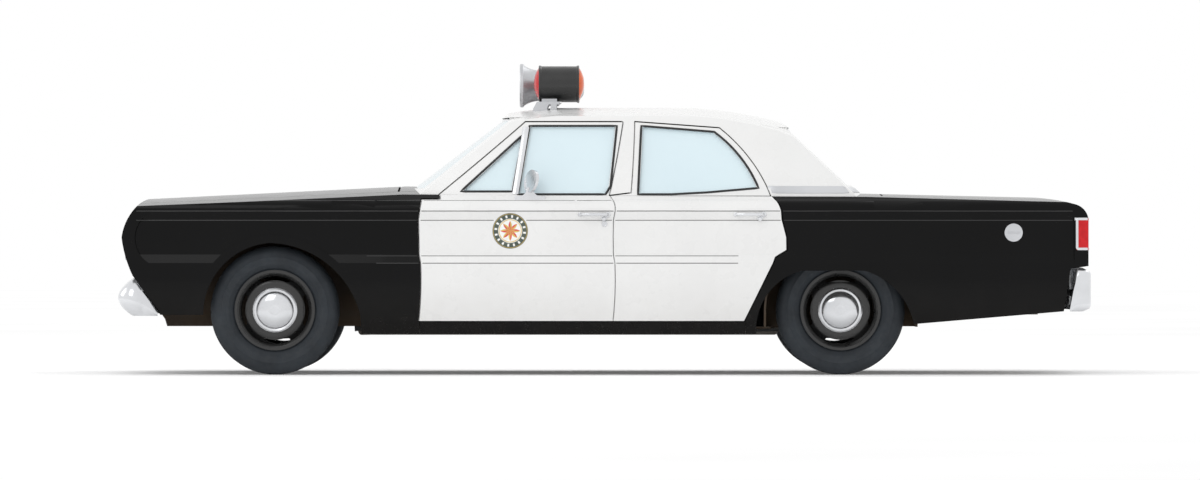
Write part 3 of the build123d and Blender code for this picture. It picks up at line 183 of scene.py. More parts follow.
FINISHES = (
    (BLACK, "front_panels rear_panels hood boot_lid cowl side_frames"),
    (WHITE, "roof"),
    (UNDERSEAL, "inner_wings underbody toe_board tunnel boot_pan wheelhouses rear_bulkhead"),
    (GLASS, "windscreen rear_window"),
    (CHROME, "front_bumper rear_bumper grille door_mirror"),
    (SATIN, "fuel_cap siren_horn beacon_bracket"),
    (LAMP_GLASS, "headlamps"),
    (RED, "tail_lamps red_lenses"),
    (AMBER, "amber_lenses"),
    (WHEEL, "beacon_cans"),
    (IRON, "engine radiator front_suspension left_knuckle right_knuckle steering_link"),
    (IRON, "rear_axle leaf_springs propshaft"),
    (STEEL, "exhaust fuel_tank"),
    (DASH, "front_seat_base dashboard steering_wheel"),
    (VINYL, "front_seat rear_seat"),
)
CORNER_FINISHES = {"door": WHITE, "glass": GLASS, "tyre": RUBBER, "wheel": WHEEL}


def dress(node, *mats, pick=None):
    """Gives a CAD node its finishes; pick says which one a face takes, by its centre and normal."""
    mesh = NODES[node].data
    mesh.materials.clear()
    for m in mats:
        mesh.materials.append(m)
    for face in mesh.polygons:
        face.material_index = pick(face.center, face.normal) if pick else 0


for finish, names in FINISHES:
    for node in names.split():
        dress(node, finish)
for corner in CORNERS:
    for part, finish in CORNER_FINISHES.items():
        dress(f"{corner}_{part}", finish)


# What lies inside the car or under it has another finish than the outer skin
TRIM_W = 0.861
CABIN_MIDDLE = Vector((0.1, 0, 1.0))


def inner_side(centre, normal):
    return int(abs(centre.y) < TRIM_W and normal.y * centre.y < 0)


def turned_in(centre, normal):
    return int(normal.dot(centre - CABIN_MIDDLE) < 0)


def under_skin(centre, normal):
    return int(normal.y * centre.y < -0.05)


def upper_side(centre, normal):
    return int(normal.z > 0.3)


for corner in CORNERS:
    dress(corner + "_door", WHITE, DASH, pick=inner_side)
dress("roof", WHITE, CLOTH, pick=turned_in)
dress("underbody", UNDERSEAL, CARPET, pick=upper_side)
dress("toe_board", UNDERSEAL, CARPET, pick=upper_side)
dress("boot_pan", UNDERSEAL, MAT, pick=upper_side)
dress("front_panels", BLACK, UNDERSEAL, pick=under_skin)
dress("rear_panels", BLACK, UNDERSEAL, pick=under_skin)


# Building pieces

def solid(name, verts, faces, mats, body, indices=None, smooth=True):
    """A piece from its points and faces; indices picks the material of each face."""
    mesh = bpy.data.meshes.new(name)
    mesh.from_pydata([tuple(v) for v in verts], [], faces)
    work = bmesh.new()
    work.from_mesh(mesh)
    if indices:
        work.faces.ensure_lookup_table()
        for face, i in zip(work.faces, indices):
            face.material_index = i
    bmesh.ops.recalc_face_normals(work, faces=work.faces)
    work.to_mesh(mesh)
    work.free()
    for m in mats if isinstance(mats, (list, tuple)) else [mats]:
        mesh.materials.append(m)
    if smooth:
        mesh.shade_smooth()
        mesh.set_sharp_from_angle(angle=math.radians(38))
    piece = bpy.data.objects.new(name, mesh)
    SCENE.collection.objects.link(piece)
    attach(piece, body)
    return piece


def bridge(rows, closed_rows, closed_row):
    """Faces between equal rows of points, with caps on a tube that is open at both ends."""
    n = len(rows[0])
    verts = [p for row in rows for p in row]
    faces = []
    last = len(rows) if closed_rows else len(rows) - 1
    for i in range(last):
        j = (i + 1) % len(rows)
        for k in range(n if closed_row else n - 1):
            m = (k + 1) % n
            faces.append((i * n + k, i * n + m, j * n + m, j * n + k))
    if closed_row and not closed_rows:
        faces.append(tuple(range(n)))
        faces.append(tuple(range((len(rows) - 1) * n, len(rows) * n)))
    return verts, faces


def applied(piece):
    """The piece's mesh with its modifiers worked in."""
    return bpy.data.meshes.new_from_object(piece.evaluated_get(bpy.context.evaluated_depsgraph_get()))


def lathe(name, profile, centre, axis, mat, body, steps=48, shape=None, closed=False):
    """A profile of (along the axis, radius) turned about an axis."""
    turn = Vector(axis).to_track_quat("Z", "Y")
    rows = []
    for j in range(steps):
        a = 2 * math.pi * j / steps
        row = []
        for i, (h, r) in enumerate(profile):
            if shape:
                h, r = shape(i, j, h, r)
            row.append(Vector(centre) + turn @ Vector((r * math.cos(a), r * math.sin(a), h)))
        rows.append(row)
    verts, faces = bridge(rows, True, closed)
    return solid(name, verts, faces, mat, body)


def arc(a, m, b, steps=10):
    """Points after a, up to b, on the arc through m."""
    ax, ay, bx, by, mx, my = *a, *b, *m
    a2, b2, m2 = ax**2 + ay**2, bx**2 + by**2, mx**2 + my**2
    d = 2 * (ax * (my - by) + mx * (by - ay) + bx * (ay - my))
    ux = (a2 * (my - by) + m2 * (by - ay) + b2 * (ay - my)) / d
    uy = (a2 * (bx - mx) + m2 * (ax - bx) + b2 * (mx - ax)) / d
    r = math.hypot(ax - ux, ay - uy)
    start, mid, end = (math.atan2(p[1] - uy, p[0] - ux) for p in (a, m, b))
    turn = (end - start) % (2 * math.pi)
    if (mid - start) % (2 * math.pi) > turn:
        turn -= 2 * math.pi
    angles = [start + turn * k / steps for k in range(1, steps + 1)]
    return [(ux + r * math.cos(t), uy + r * math.sin(t)) for t in angles]


def traced(steps, closed=False):
    """A path in millimetres; a step that is a pair of points is an arc."""
    path = [steps[0]]
    for s in steps[1:]:
        if isinstance(s[0], tuple):
            path += arc(path[-1], s[0], s[1])
        else:
            path.append(s)
    if closed and path[0] != path[-1]:
        path.append(path[0])
    return path


def spaced(path, step=22.0):
    """The path with points no further apart than a step."""
    out = [path[0]]
    for a, b in zip(path, path[1:]):
        n = max(1, math.ceil(math.dist(a, b) / step))
        out += [(a[0] + (b[0] - a[0]) * k / n, a[1] + (b[1] - a[1]) * k / n) for k in range(1, n + 1)]
    return out


def skin_of(*nodes):
    """The faces of CAD nodes, to lay pieces on."""
    verts, faces = [], []
    for n in nodes:
        base = len(verts)
        mesh = NODES[n].data
        verts += [v.co.copy() for v in mesh.vertices]
        faces += [tuple(base + i for i in p.vertices) for p in mesh.polygons]
    return BVHTree.FromPolygons(verts, faces)


def caster(tree, side=None, end=None):
    """Puts a point of a side view, or of an end view, on the skin that faces it."""
    def cast(p):
        if side:
            start, way = Vector((p[0] * MM, side * 3, p[1] * MM)), Vector((0, -side, 0))
        else:
            start, way = Vector((end * 5, p[0] * MM, p[1] * MM)), Vector((-end, 0, 0))
        hit, normal, _, _ = tree.ray_cast(start, way)
        if hit is None:
            return None
        return hit, (normal if normal.dot(way) < 0 else -normal)
    return cast


# Sections of a moulding, as shares of its width and height, and how deep it is let into the skin
ROUND = ((-0.5, 0.0), (-0.5, 0.4), (-0.34, 0.84), (0.0, 1.0), (0.34, 0.84), (0.5, 0.4), (0.5, 0.0))
FLAT = ((-0.5, 0.0), (-0.5, 0.7), (-0.42, 1.0), (0.42, 1.0), (0.5, 0.7), (0.5, 0.0))
LET_IN = 0.6


def strip(name, steps, cast, width, height, mat, body, closed=False, section=ROUND, step=22.0):
    """A moulding laid along a path on the skin; width and height in millimetres."""
    hits = [cast(p) for p in spaced(traced(steps, closed), step)]
    hits = [h for h in hits if h]
    if closed and (hits[0][0] - hits[-1][0]).length < 1e-6:
        hits.pop()
    n = len(hits)
    rows = []
    for i, (place, normal) in enumerate(hits):
        before = hits[(i - 1) % n] if closed or i else hits[i]
        after = hits[(i + 1) % n] if closed or i < n - 1 else hits[i]
        up = (before[1] + normal + after[1]).normalized()
        across = up.cross(after[0] - before[0]).normalized()
        rows.append([place + across * (a * width * MM) + up * ((b * height - LET_IN) * MM)
                     for a, b in section])
    verts, faces = bridge(rows, closed, True)
    return solid(name, verts, faces, mat, body)


def tube(name, path, sizes, mat, body, steps=12):
    """A rounded bar along points in metres; sizes gives its half width and half height at each."""
    points = [Vector(p) for p in path]
    turns = [2 * math.pi * k / steps for k in range(steps)]
    rows = []
    for i, (p, (w, h)) in enumerate(zip(points, sizes)):
        ahead = (points[min(i + 1, len(points) - 1)] - points[max(i - 1, 0)]).normalized()
        side = ahead.cross(Vector((0, 0, 1)))
        side = side.normalized() if side.length > 0.05 else Vector((0, 1, 0))
        up = side.cross(ahead).normalized()
        rows.append([p + side * (w * math.cos(a)) + up * (h * math.sin(a)) for a in turns])
    verts, faces = bridge(rows, False, True)
    return solid(name, verts, faces, mat, body)


def prism(name, polygon, near, far, mat, body):
    """A side-view polygon between two distances from the middle, with its edges bevelled."""
    rows = [[Vector((x * MM, y * MM, z * MM)) for x, z in polygon] for y in (near, far)]
    verts, faces = bridge(rows, False, True)
    piece = solid(name, verts, faces, mat, body, smooth=False)
    bevel = piece.modifiers.new("edges", "BEVEL")
    bevel.width = 0.006
    bevel.segments = 3
    piece.data = applied(piece)
    piece.modifiers.remove(bevel)
    piece.data.shade_smooth()
    piece.data.set_sharp_from_angle(angle=math.radians(40))
    return piece


# Tyres: rings on the sides as (radius, half width), then the tread from shoulder to middle
SIDE_RINGS = ((201, 62), (212, 63), (222, 74), (240, 86), (244, 88.5), (250, 88.5), (254, 90.5), (272, 96.5),
              (276, 98), (280, 96), (292, 94), (305, 90), (312, 86.5), (322, 80), (328.5, 72))
TREAD = ((333.4, 66), (334.4, 55), (328, 53.5), (328, 47.5), (334.9, 46), (335.2, 31), (328.6, 30),
         (328.6, 25), (335.6, 24), (336, 8), (329, 6.5), (329, 0))
LINER = ((-45, 236), (-60, 300), (0, 316), (60, 300), (45, 236))
TREAD_STEPS = 180
BLOCK_STEPS = 6
TREAD_CUT = 5.5
SHOULDER_CUT = 3
CAP_RADIUS = 0.1175
CAP_DEPTH = 0.036


def tyre(corner):
    """A tyre with tread blocks that are cut across and staggered from rib to rib."""
    low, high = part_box(corner + "_tyre")
    side = LEFT if low.y < 0 else RIGHT
    half = [(w, r) for r, w in SIDE_RINGS + TREAD]
    profile = half + [(-w, r) for w, r in reversed(half[:-1])] + list(LINER)
    first, last = len(SIDE_RINGS) - 1, len(half) + len(TREAD)

    def shape(i, j, h, r):
        stagger = (3 if h > 0 else 0) + (2 if abs(h) > 28 else 0)
        if r > 333 and first <= i <= last and (j + stagger) % BLOCK_STEPS == 0 and abs(h) > 9:
            r -= TREAD_CUT
        if 326 < r < 330 and abs(h) > 70 and j % BLOCK_STEPS == 3:
            r -= SHOULDER_CUT
        return h * MM, r * MM

    piece = lathe(corner + "_tread_tyre", profile, (low + high) / 2, (0, side, 0), RUBBER, "wheel_" + corner,
                  steps=TREAD_STEPS, shape=shape, closed=True)
    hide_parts(corner + "_tyre")


def wheel(corner):
    """Chrome on the wheel's cap and black on the rest."""
    low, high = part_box(corner + "_wheel")
    middle = (low + high) / 2
    side = LEFT if middle.y < 0 else RIGHT
    face_w = max(abs(low.y), abs(high.y))

    def cap_or_rim(centre, normal):
        r = math.hypot(centre.x - middle.x, centre.z - middle.z)
        return int(r < CAP_RADIUS and centre.y * side > face_w - CAP_DEPTH)

    dress(corner + "_wheel", WHEEL, CHROME, pick=cap_or_rim)


for corner in CORNERS:
    tyre(corner)
    wheel(corner)


# Window seals, vent bars and handles of the doors, as paths of the side view
DOOR_SKIN = {s: skin_of(f"front_{name}_door", f"rear_{name}_door") for s, name in SIDE_NAMES.items()}
VENT_SEAL = ((-748, 954), (-424, 1252), (-478, 954))
FRONT_SEAL = ((-451, 939), (-391, 1297), (65, 1297), (27, 939))
REAR_SEAL = ((174, 939), (192, 1297), (572, 1266), ((694, 1151), (802, 972)), (533, 949), (348, 939))
VENT_BAR = ((-409, 1290), (-464, 940))
HANDLE_Z = 834
FRONT_HANDLE = {"reach": (-129, 20), "button": (-3, 816), "lock": (0, 785)}
REAR_HANDLE = {"reach": (680, 830), "button": (808, 816), "lock": None}
BUTTON = ((-1, 14), (6, 14), (7, 11.5), (17, 10.5), (19, 8.5), (19.5, 0))
LOCK = ((-1, 15), (3, 15), (4.5, 13), (3.5, 8.5), (1.5, 7.5), (1.5, 0))
BAR_THICKNESS = 0.0045


def door_trim(side):
    """Seals, vent bar and handles of both doors of a side."""
    name = SIDE_NAMES[side]
    cast = caster(DOOR_SKIN[side], side=side)
    front, rear = f"front_{name}_door", f"rear_{name}_door"
    strip(f"vent_seal_{name}", VENT_SEAL, cast, 12, 4, SEAL, front, closed=True)
    strip(f"front_window_seal_{name}", FRONT_SEAL, cast, 12, 4, SEAL, front, closed=True)
    strip(f"rear_window_seal_{name}", REAR_SEAL, cast, 12, 4, SEAL, rear, closed=True)
    strip(f"vent_bar_{name}", VENT_BAR, cast, 32, 6, CHROME, front, section=FLAT)
    handle(f"front_handle_{name}", side, cast, front, FRONT_HANDLE)
    handle(f"rear_handle_{name}", side, cast, rear, REAR_HANDLE)


def turned(name, profile, cast, place, body, steps):
    """A small chromed turning that stands on the skin; its profile is in millimetres."""
    hit, normal = cast(place)
    lathe(name, [(h * MM, r * MM) for h, r in profile], hit, normal, CHROME, body, steps=steps)


def handle(name, side, cast, body, sizes):
    """A pull bar on two feet, with its push button and, where there is one, its lock."""
    x0, x1 = sizes["reach"]
    bar = ((x0, 0, 5), (x0 + 2, 14, 6.5), (x0 + 14, 22, 7), (x0 + 60, 26, 7), (x1 - 40, 26, 7.5),
           (x1 - 8, 22, 8), (x1 - 1, 12, 8), (x1, 0, 8))
    base = min(abs(cast((x, HANDLE_Z))[0].y) for x in (x0, x1)) - 0.002
    path = [(x * MM, side * (base + out * MM), HANDLE_Z * MM) for x, out, _ in bar]
    tube(name, path, [(BAR_THICKNESS, h * MM) for _, _, h in bar], CHROME, body)
    for k, (x, r) in enumerate(((x0 + 2, 11), (x1 - 3, 15))):
        foot = ((-1, r), (3, r), (5, r * 0.8), (5, 0))
        turned(f"{name}_foot{k}", foot, cast, (x, HANDLE_Z), body, 24)
    turned(name + "_button", BUTTON, cast, sizes["button"], body, 28)
    if sizes["lock"]:
        turned(name + "_lock", LOCK, cast, sizes["lock"], body, 28)


# Fine dark strips of painted shade along the belt and the creases, standing in for the shade in their
# grooves: height, then how far each may reach
CREASE_SHADES = ((907, (-2440, 2440)), (852, (-2440, 2440)), (804, (-2440, 2440)), (619, (-1240, 700)),
           (581, (-1190, 700)))
ROUNDEL_ROW = 2
ROUNDEL_GAP = (-570, -410)
CREASE_STEP = 4
SHORTEST_CREASE = 10


def crease_shade_lines(side):
    """Dark strips of painted crease shade on each panel and door of a side, broken where the roundel sits."""
    name = SIDE_NAMES[side]
    front, rear = f"front_{name}_door", f"rear_{name}_door"
    panels = (("front_panels", "root", WHEEL), ("rear_panels", "root", WHEEL), (front, front, SEAL),
              (rear, rear, SEAL))
    casts = {node: caster(skin_of(node), side=side) for node, _, _ in panels}
    for row, (z, reach) in enumerate(CREASE_SHADES):
        for node, body, mat in panels:
            cast = casts[node]
            runs = [reach]
            if node == front and row == ROUNDEL_ROW:
                runs = [(reach[0], ROUNDEL_GAP[0]), (ROUNDEL_GAP[1], reach[1])]
            for part, (x0, x1) in enumerate(runs):
                found = [x for x in range(x0, x1 + 1, CREASE_STEP) if on_outer_skin(cast((x, z)))]
                if len(found) > SHORTEST_CREASE:
                    line = ((found[0] + CREASE_STEP, z), (found[-1] - CREASE_STEP, z))
                    # A dark strip laid along the crease as painted shade
                    strip(f"crease_{node}_{name}_{row}_{part}", line, cast, 4, 1.1, mat, body)


def on_outer_skin(hit):
    return hit and abs(hit[0].y) > 0.82 and abs(hit[1].y) > 0.5


for side in (LEFT, RIGHT):
    door_trim(side)
    crease_shade_lines(side)


# Plain roundel on both front doors: an eight-pointed star inside rings
ROUNDEL_PLACE = (-490, 749)
ROUNDEL_RINGS = (56, 60, 63, 68, 82, 87, 89, 92)
STAR_POINTS = 8
STAR_TIP, STAR_WAIST = 52, 22
SECTORS = 96
ROUNDEL_HEIGHT = 0.0009
ROUNDEL_THICKNESS = 0.0012
PRINTS = (GOLD, PAPER, SCARLET, GREEN)


def star(sector):
    """Radius of the star's outline at a sector."""
    turn = (sector * STAR_POINTS / SECTORS) % 1
    return STAR_TIP - (STAR_TIP - STAR_WAIST) * min(turn, 1 - turn) * 2


def roundel(side):
    """Rings and star as one thin print on the door's skin, each face in the colour of its ring."""
    name = SIDE_NAMES[side]
    cast = caster(DOOR_SKIN[side], side=side)
    gold, paper, scarlet, green = range(4)
    rows, indices = [], []
    for k in range(SECTORS):
        a = 2 * math.pi * k / SECTORS
        row = []
        for r in (0.5, star(k) * 0.5, star(k), *ROUNDEL_RINGS):
            hit, _ = cast((ROUNDEL_PLACE[0] + r * math.sin(a), ROUNDEL_PLACE[1] + r * math.cos(a)))
            row.append(hit + Vector((0, side * ROUNDEL_HEIGHT, 0)))
        row.append(row[-1] - Vector((0, side * ROUNDEL_THICKNESS, 0)))
        rows.append(row)
        facets = (gold, scarlet) if (k * 2 * STAR_POINTS // SECTORS) % 2 else (scarlet, gold)
        block = paper if k % 6 in (1, 2) else green
        indices += [*facets, paper, gold, paper, green, block, green, gold, green, green]
    verts, faces = bridge(rows, True, False)
    solid(f"roundel_{name}", verts, faces, PRINTS, f"front_{name}_door", indices=indices, smooth=False)


for side in (LEFT, RIGHT):
    roundel(side)


# Bumpers: one bar that turns round both corners and tapers along the body side. The shoulder is where
# its top starts and stops dipping, and by how much; the end is where it stops, and its height there;
# the iron is its distance from the middle, its height, and the x that it reaches
BUMPERS = {
    "front": {"tip": -2554, "way": 1, "low": 307, "high": 514, "crown": 76, "shoulder": (72, 113, 30),
              "end": (231, 20), "flat": False, "iron": (420, 395, -2170)},
    "rear": {"tip": 2554, "way": -1, "low": 330, "high": 557, "crown": 40, "shoulder": (40, 100, 8),
             "end": (134, 14), "flat": True, "iron": (520, 405, 2440)},
}
BUMPER_BOW = 20000
BUMPER_SIDE_W = 908.0
BUMPER_SIDE_CROWN = 12
BUMPER_CORNER = 55.0
BUMPER_SHEET = 8.0
BUMPER_SET_BACK = 4
SIDE_STATIONS, CORNER_STATIONS, FACE_STATIONS, HEIGHT_STATIONS = 12, 12, 24, 16
IRON_SET_BACK = 14
IRON_HEIGHT = 34
IRON_HALF_WIDTH = 20


def bumper_plan(b):
    """Points of one half of the bar's plan, from its end on the body side to the middle, with normals."""
    base = b["crown"] + BUMPER_SET_BACK
    y = BUMPER_SIDE_W - BUMPER_CORNER
    turn = base + y * y / (2 * BUMPER_BOW) + BUMPER_CORNER
    reach = b["end"][0]
    points = []
    for k in range(SIDE_STATIONS):
        points.append((reach + (turn - reach) * k / SIDE_STATIONS, BUMPER_SIDE_W, 0.0, 1.0))
    for k in range(CORNER_STATIONS + 1):
        a = math.pi / 2 * k / CORNER_STATIONS
        s, c = math.sin(a), math.cos(a)
        points.append((turn - BUMPER_CORNER * s, y + BUMPER_CORNER * c, -s, c))
    for k in range(1, FACE_STATIONS + 1):
        w = y * (1 - k / FACE_STATIONS)
        points.append((base + w * w / (2 * BUMPER_BOW), w, -1.0, w / BUMPER_BOW))
    return points


def bumper_bulge(b, nq, t):
    """How far the bar stands out at a share t of its height: boxy at the rear, a lobe at the front."""
    crown = b["crown"] + (BUMPER_SIDE_CROWN - b["crown"]) * (1 - abs(nq))
    lobe = math.sin(math.pi * t)
    return crown * (min(1.0, 3.2 * lobe) ** 0.5 if b["flat"] else lobe ** 0.85)


def bumper_top(b, q):
    """Height of the bar's top edge at a distance from its tip."""
    start, stop, dip = b["shoulder"]
    end_q, end_height = b["end"]
    top = b["high"] - dip * max(0.0, min(1.0, (q - start) / (stop - start)))
    if q > stop:
        top += (b["low"] + end_height - top) * (q - stop) / (end_q - stop)
    return top


def bumper(end):
    """The bar in sheet metal, and an iron behind it on each side."""
    b = BUMPERS[end]
    half = bumper_plan(b)
    plan = [(q, -w, nq, -nw) for q, w, nq, nw in half] + half[-2::-1]
    rows = []
    for q, w, nq, nw in plan:
        top = bumper_top(b, q)
        outer, inner = [], []
        for k in range(HEIGHT_STATIONS + 1):
            t = k / HEIGHT_STATIONS
            out = bumper_bulge(b, nq, t)
            z = b["low"] + (top - b["low"]) * t
            for path, d in ((outer, out), (inner, out - BUMPER_SHEET)):
                x = b["tip"] + b["way"] * (q + nq * d)
                path.append(Vector((x * MM, (w + nw * d) * MM, z * MM)))
        rows.append(outer + inner[::-1])
    verts, faces = bridge(rows, False, True)
    piece = solid(f"{end}_bumper_bar", verts, faces, CHROME, "root")
    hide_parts(f"{end}_bumper")
    y, z0, x1 = b["iron"]
    x0, z1 = b["tip"] + b["way"] * IRON_SET_BACK, z0 + IRON_HEIGHT
    iron = ((x0, z0), (x0, z1), (x1, z1), (x1, z0))
    for side, name in SIDE_NAMES.items():
        near, far = side * (y - IRON_HALF_WIDTH), side * (y + IRON_HALF_WIDTH)
        prism(f"{end}_bumper_iron_{name}", iron, near, far, IRON, "root")


for end in BUMPERS:
    bumper(end)


# Mouldings on the fixed body
QUARTER_SKIN = skin_of("tail_lamps", "rear_panels", "boot_lid")
PILLAR_BAND = ((852, 963), (1326, 963))
REAR_BAND = ((-600, 963), (600, 963))
LAMP_FRAME = ((2514, 811), (2468, 811), ((2461, 808), (2459, 801)), (2459, 665), ((2461, 658), (2468, 655)),
              (2514, 655))
LAMP_BACK = ((872, 811), (722, 811), (722, 655), (872, 655))
SCREEN_HALF = ((0, 1336), (400, 1332), (580, 1324), (598, 1318), (734, 974))
REAR_WINDOW_HALF = ((0, 1279), (400, 1273), (540, 1264), (568, 1256), (676, 998))


def both_halves(half):
    """A path across the car from the half that starts at the middle."""
    return [(-y, z) for y, z in half[:0:-1]] + list(half)


for side in (LEFT, RIGHT):
    name = SIDE_NAMES[side]
    strip(f"pillar_band_{name}", PILLAR_BAND, caster(skin_of("roof"), side=side), 40, 4, SATIN, "root",
          section=FLAT)
    strip(f"tail_lamp_bezel_{name}", LAMP_FRAME, caster(QUARTER_SKIN, side=side), 13, 5, CHROME, "root",
          step=10)
    strip(f"tail_lamp_rim_{name}", [(side * y, z) for y, z in LAMP_BACK], caster(QUARTER_SKIN, end=REAR_END),
          13, 5, CHROME, "root", step=12)
strip("windscreen_surround", both_halves(SCREEN_HALF), caster(skin_of("windscreen"), end=FRONT_END), 18, 6,
      CHROME, "root")
strip("rear_window_surround", both_halves(REAR_WINDOW_HALF), caster(skin_of("rear_window"), end=REAR_END), 18,
      6, CHROME, "root")
strip("rear_base_band", REAR_BAND, caster(skin_of("roof"), end=REAR_END), 40, 4, SATIN, "root", section=FLAT)

# The roof's paint over each upper corner of the fixed glass: a thin cover from the surround, whose top
# edge runs between the two points given, back over the roof by its reach
HEADER_CORNERS = {
    "front": {"glass": "windscreen", "end": FRONT_END, "tops": ((400, 1332), (580, 1324)), "reach": 0.165},
    "rear": {"glass": "rear_window", "end": REAR_END, "tops": ((400, 1273), (560, 1258)), "reach": 0.15},
}
HEADER_START, HEADER_STEP, HEADER_ROWS, HEADER_COLUMNS = 392, 12, 20, 15
HEADER_OVER = Vector((0, 0, 0.0011))
HEADER_UNDER = Vector((0, 0, 0.0009))
SKY_Z = 3


def header_corner(end, side):
    """A cover that follows the roof and the glass as they lie, seen from above."""
    h = HEADER_CORNERS[end]
    (y0, z0), (y1, z1) = h["tops"]
    glass = caster(skin_of(h["glass"]), end=h["end"])
    cover = skin_of("roof", h["glass"])
    rows = []
    for k in range(HEADER_ROWS):
        y = HEADER_START + HEADER_STEP * k
        edge_y = min(y, y1)
        start = glass((side * edge_y, z0 + (z1 - z0) * (edge_y - y0) / (y1 - y0)))[0].x
        outer, inner = [], []
        for j in range(HEADER_COLUMNS + 1):
            sky = Vector((start - h["end"] * h["reach"] * j / HEADER_COLUMNS, side * y * MM, SKY_Z))
            top = cover.ray_cast(sky, Vector((0, 0, -1)))[0]
            outer.append(top + HEADER_OVER)
            inner.append(top - HEADER_UNDER)
        rows.append(outer + inner[::-1])
    verts, faces = bridge(rows, False, True)
    solid(f"{end}_header_corner_{SIDE_NAMES[side]}", verts, faces, WHITE, "root")


for end in HEADER_CORNERS:
    for side in (LEFT, RIGHT):
        header_corner(end, side)


# Padded bench seats: crowned forms with sewn channels and piping. Front is the way that the sewn face
# looks, half the half width, and pitch the width of a channel
PADS = {
    "front_cushion": {
        "node": "front_seat", "half": 672, "front": (0, 1), "pitch": 84,
        "profile": ((-462, 444), (-480, 500), (-470, 536), (-430, 546), (28, 518), (41, 500), (41, 444)),
    },
    "front_backrest": {
        "node": "front_seat", "half": 672, "front": (-1, 0), "pitch": 84,
        "profile": ((49, 446), (47, 522), (152, 936), (172, 960), (196, 968), (222, 954), (228, 938),
                    (147, 446)),
    },
    "rear_cushion": {
        "node": "rear_seat", "half": 690, "front": (0, 1), "pitch": 86,
        "profile": ((464, 446), (454, 480), (466, 514), (500, 520), (905, 499), (918, 480), (918, 446)),
    },
    "rear_backrest": {
        "node": "rear_seat", "half": 690, "front": (-1, 0), "pitch": 86,
        "profile": ((926, 476), (930, 505), (1036, 893), (1055, 915), (1080, 919), (1112, 901), (1150, 890),
                    (1152, 476)),
    },
}
PAD_STEP = 15.0
PAD_EDGE = 34.0
PAD_SLACK = 5.0
PAD_BORDER = 0.055
SWELL_FRAMES = 20
SWELL_PRESSURE = 4
SWELL_LIMIT = 0.012
CHANNEL_CROWN, CHANNEL_DEPTH, RIM_DEPTH = 4, 9, 5
PIPING_RADIUS = 4.5
PIPING_STEPS = 8
REAR_AXLE, AXLE_HEIGHT = 1229, 336
WHEELHOUSE_RADIUS = 420
WHEELHOUSE_SIDE = 582.0


def rounded(profile, rounds=3):
    """A closed profile with its corners cut round."""
    points = list(profile)
    for _ in range(rounds):
        cut = []
        for a, b in zip(points, points[1:] + points[:1]):
            cut.append((a[0] * 0.75 + b[0] * 0.25, a[1] * 0.75 + b[1] * 0.25))
            cut.append((a[0] * 0.25 + b[0] * 0.75, a[1] * 0.25 + b[1] * 0.75))
        points = cut
    return points


def outward(path):
    """Outward normals of a closed path."""
    area = sum(a[0] * b[1] - b[0] * a[1] for a, b in zip(path, path[1:] + path[:1]))
    sign = 1 if area > 0 else -1
    out = []
    for k in range(len(path)):
        a, b = path[k - 1], path[(k + 1) % len(path)]
        length = math.dist(a, b)
        out.append((sign * (b[1] - a[1]) / length, -sign * (b[0] - a[0]) / length))
    return out


def half_width(pad, x, z):
    """Half width of a pad; the rear seat's steps in between the wheelhouses."""
    half = pad["half"]
    if pad["node"] == "front_seat":
        return half
    depth = WHEELHOUSE_RADIUS - math.hypot(x - REAR_AXLE, z - AXLE_HEIGHT)
    return half - (half - WHEELHOUSE_SIDE) * max(0.0, min(1.0, depth / 30 + 0.4))


def pad_form(name, path, normals, slack):
    """The pad before it swells, smaller by its slack, with its ends drawn in round."""
    pad = PADS[name]
    half = pad["half"]
    stations = math.ceil(2 * half / PAD_STEP)
    rows = []
    for j in range(stations + 1):
        u = -1 + 2 * j / stations
        past = max(0.0, abs(u) * half - (half - PAD_EDGE)) / PAD_EDGE
        inset = PAD_EDGE * 0.75 * (1 - math.sqrt(max(0.0, 1 - past * past))) + slack
        row = []
        for (x, z), (nx, nz) in zip(path, normals):
            w = half_width(pad, x, z)
            row.append(Vector(((x - nx * inset) * MM, u * w * MM, (z - nz * inset) * MM)))
        rows.append(row)
    verts, faces = bridge(rows, False, True)
    return solid(name, verts, faces, VINYL, "root")


def swelled(piece, front):
    """Air pressure on the cover as cloth; its back stays, and no point moves past the limit."""
    mesh = piece.data
    group = piece.vertex_groups.new(name="held")
    start = [v.co.copy() for v in mesh.vertices]
    back = [v.index for v in mesh.vertices if v.normal.x * front[0] + v.normal.z * front[1] < -0.6]
    group.add(back, 1.0, "REPLACE")
    cloth = piece.modifiers.new("swell", "CLOTH")
    cloth.settings.use_pressure = True
    cloth.settings.uniform_pressure_force = SWELL_PRESSURE
    cloth.settings.vertex_group_mass = "held"
    cloth.settings.effector_weights.gravity = 0
    for f in range(1, SWELL_FRAMES + 1):
        SCENE.frame_set(f)
    result = piece.evaluated_get(bpy.context.evaluated_depsgraph_get()).data
    moved = [v.co.copy() for v in result.vertices]
    piece.modifiers.remove(cloth)
    SCENE.frame_set(1)
    for v, a, b in zip(mesh.vertices, start, moved):
        step = b - a
        if step.length > SWELL_LIMIT:
            step *= SWELL_LIMIT / step.length
        v.co = a + step
    piece.vertex_groups.remove(group)


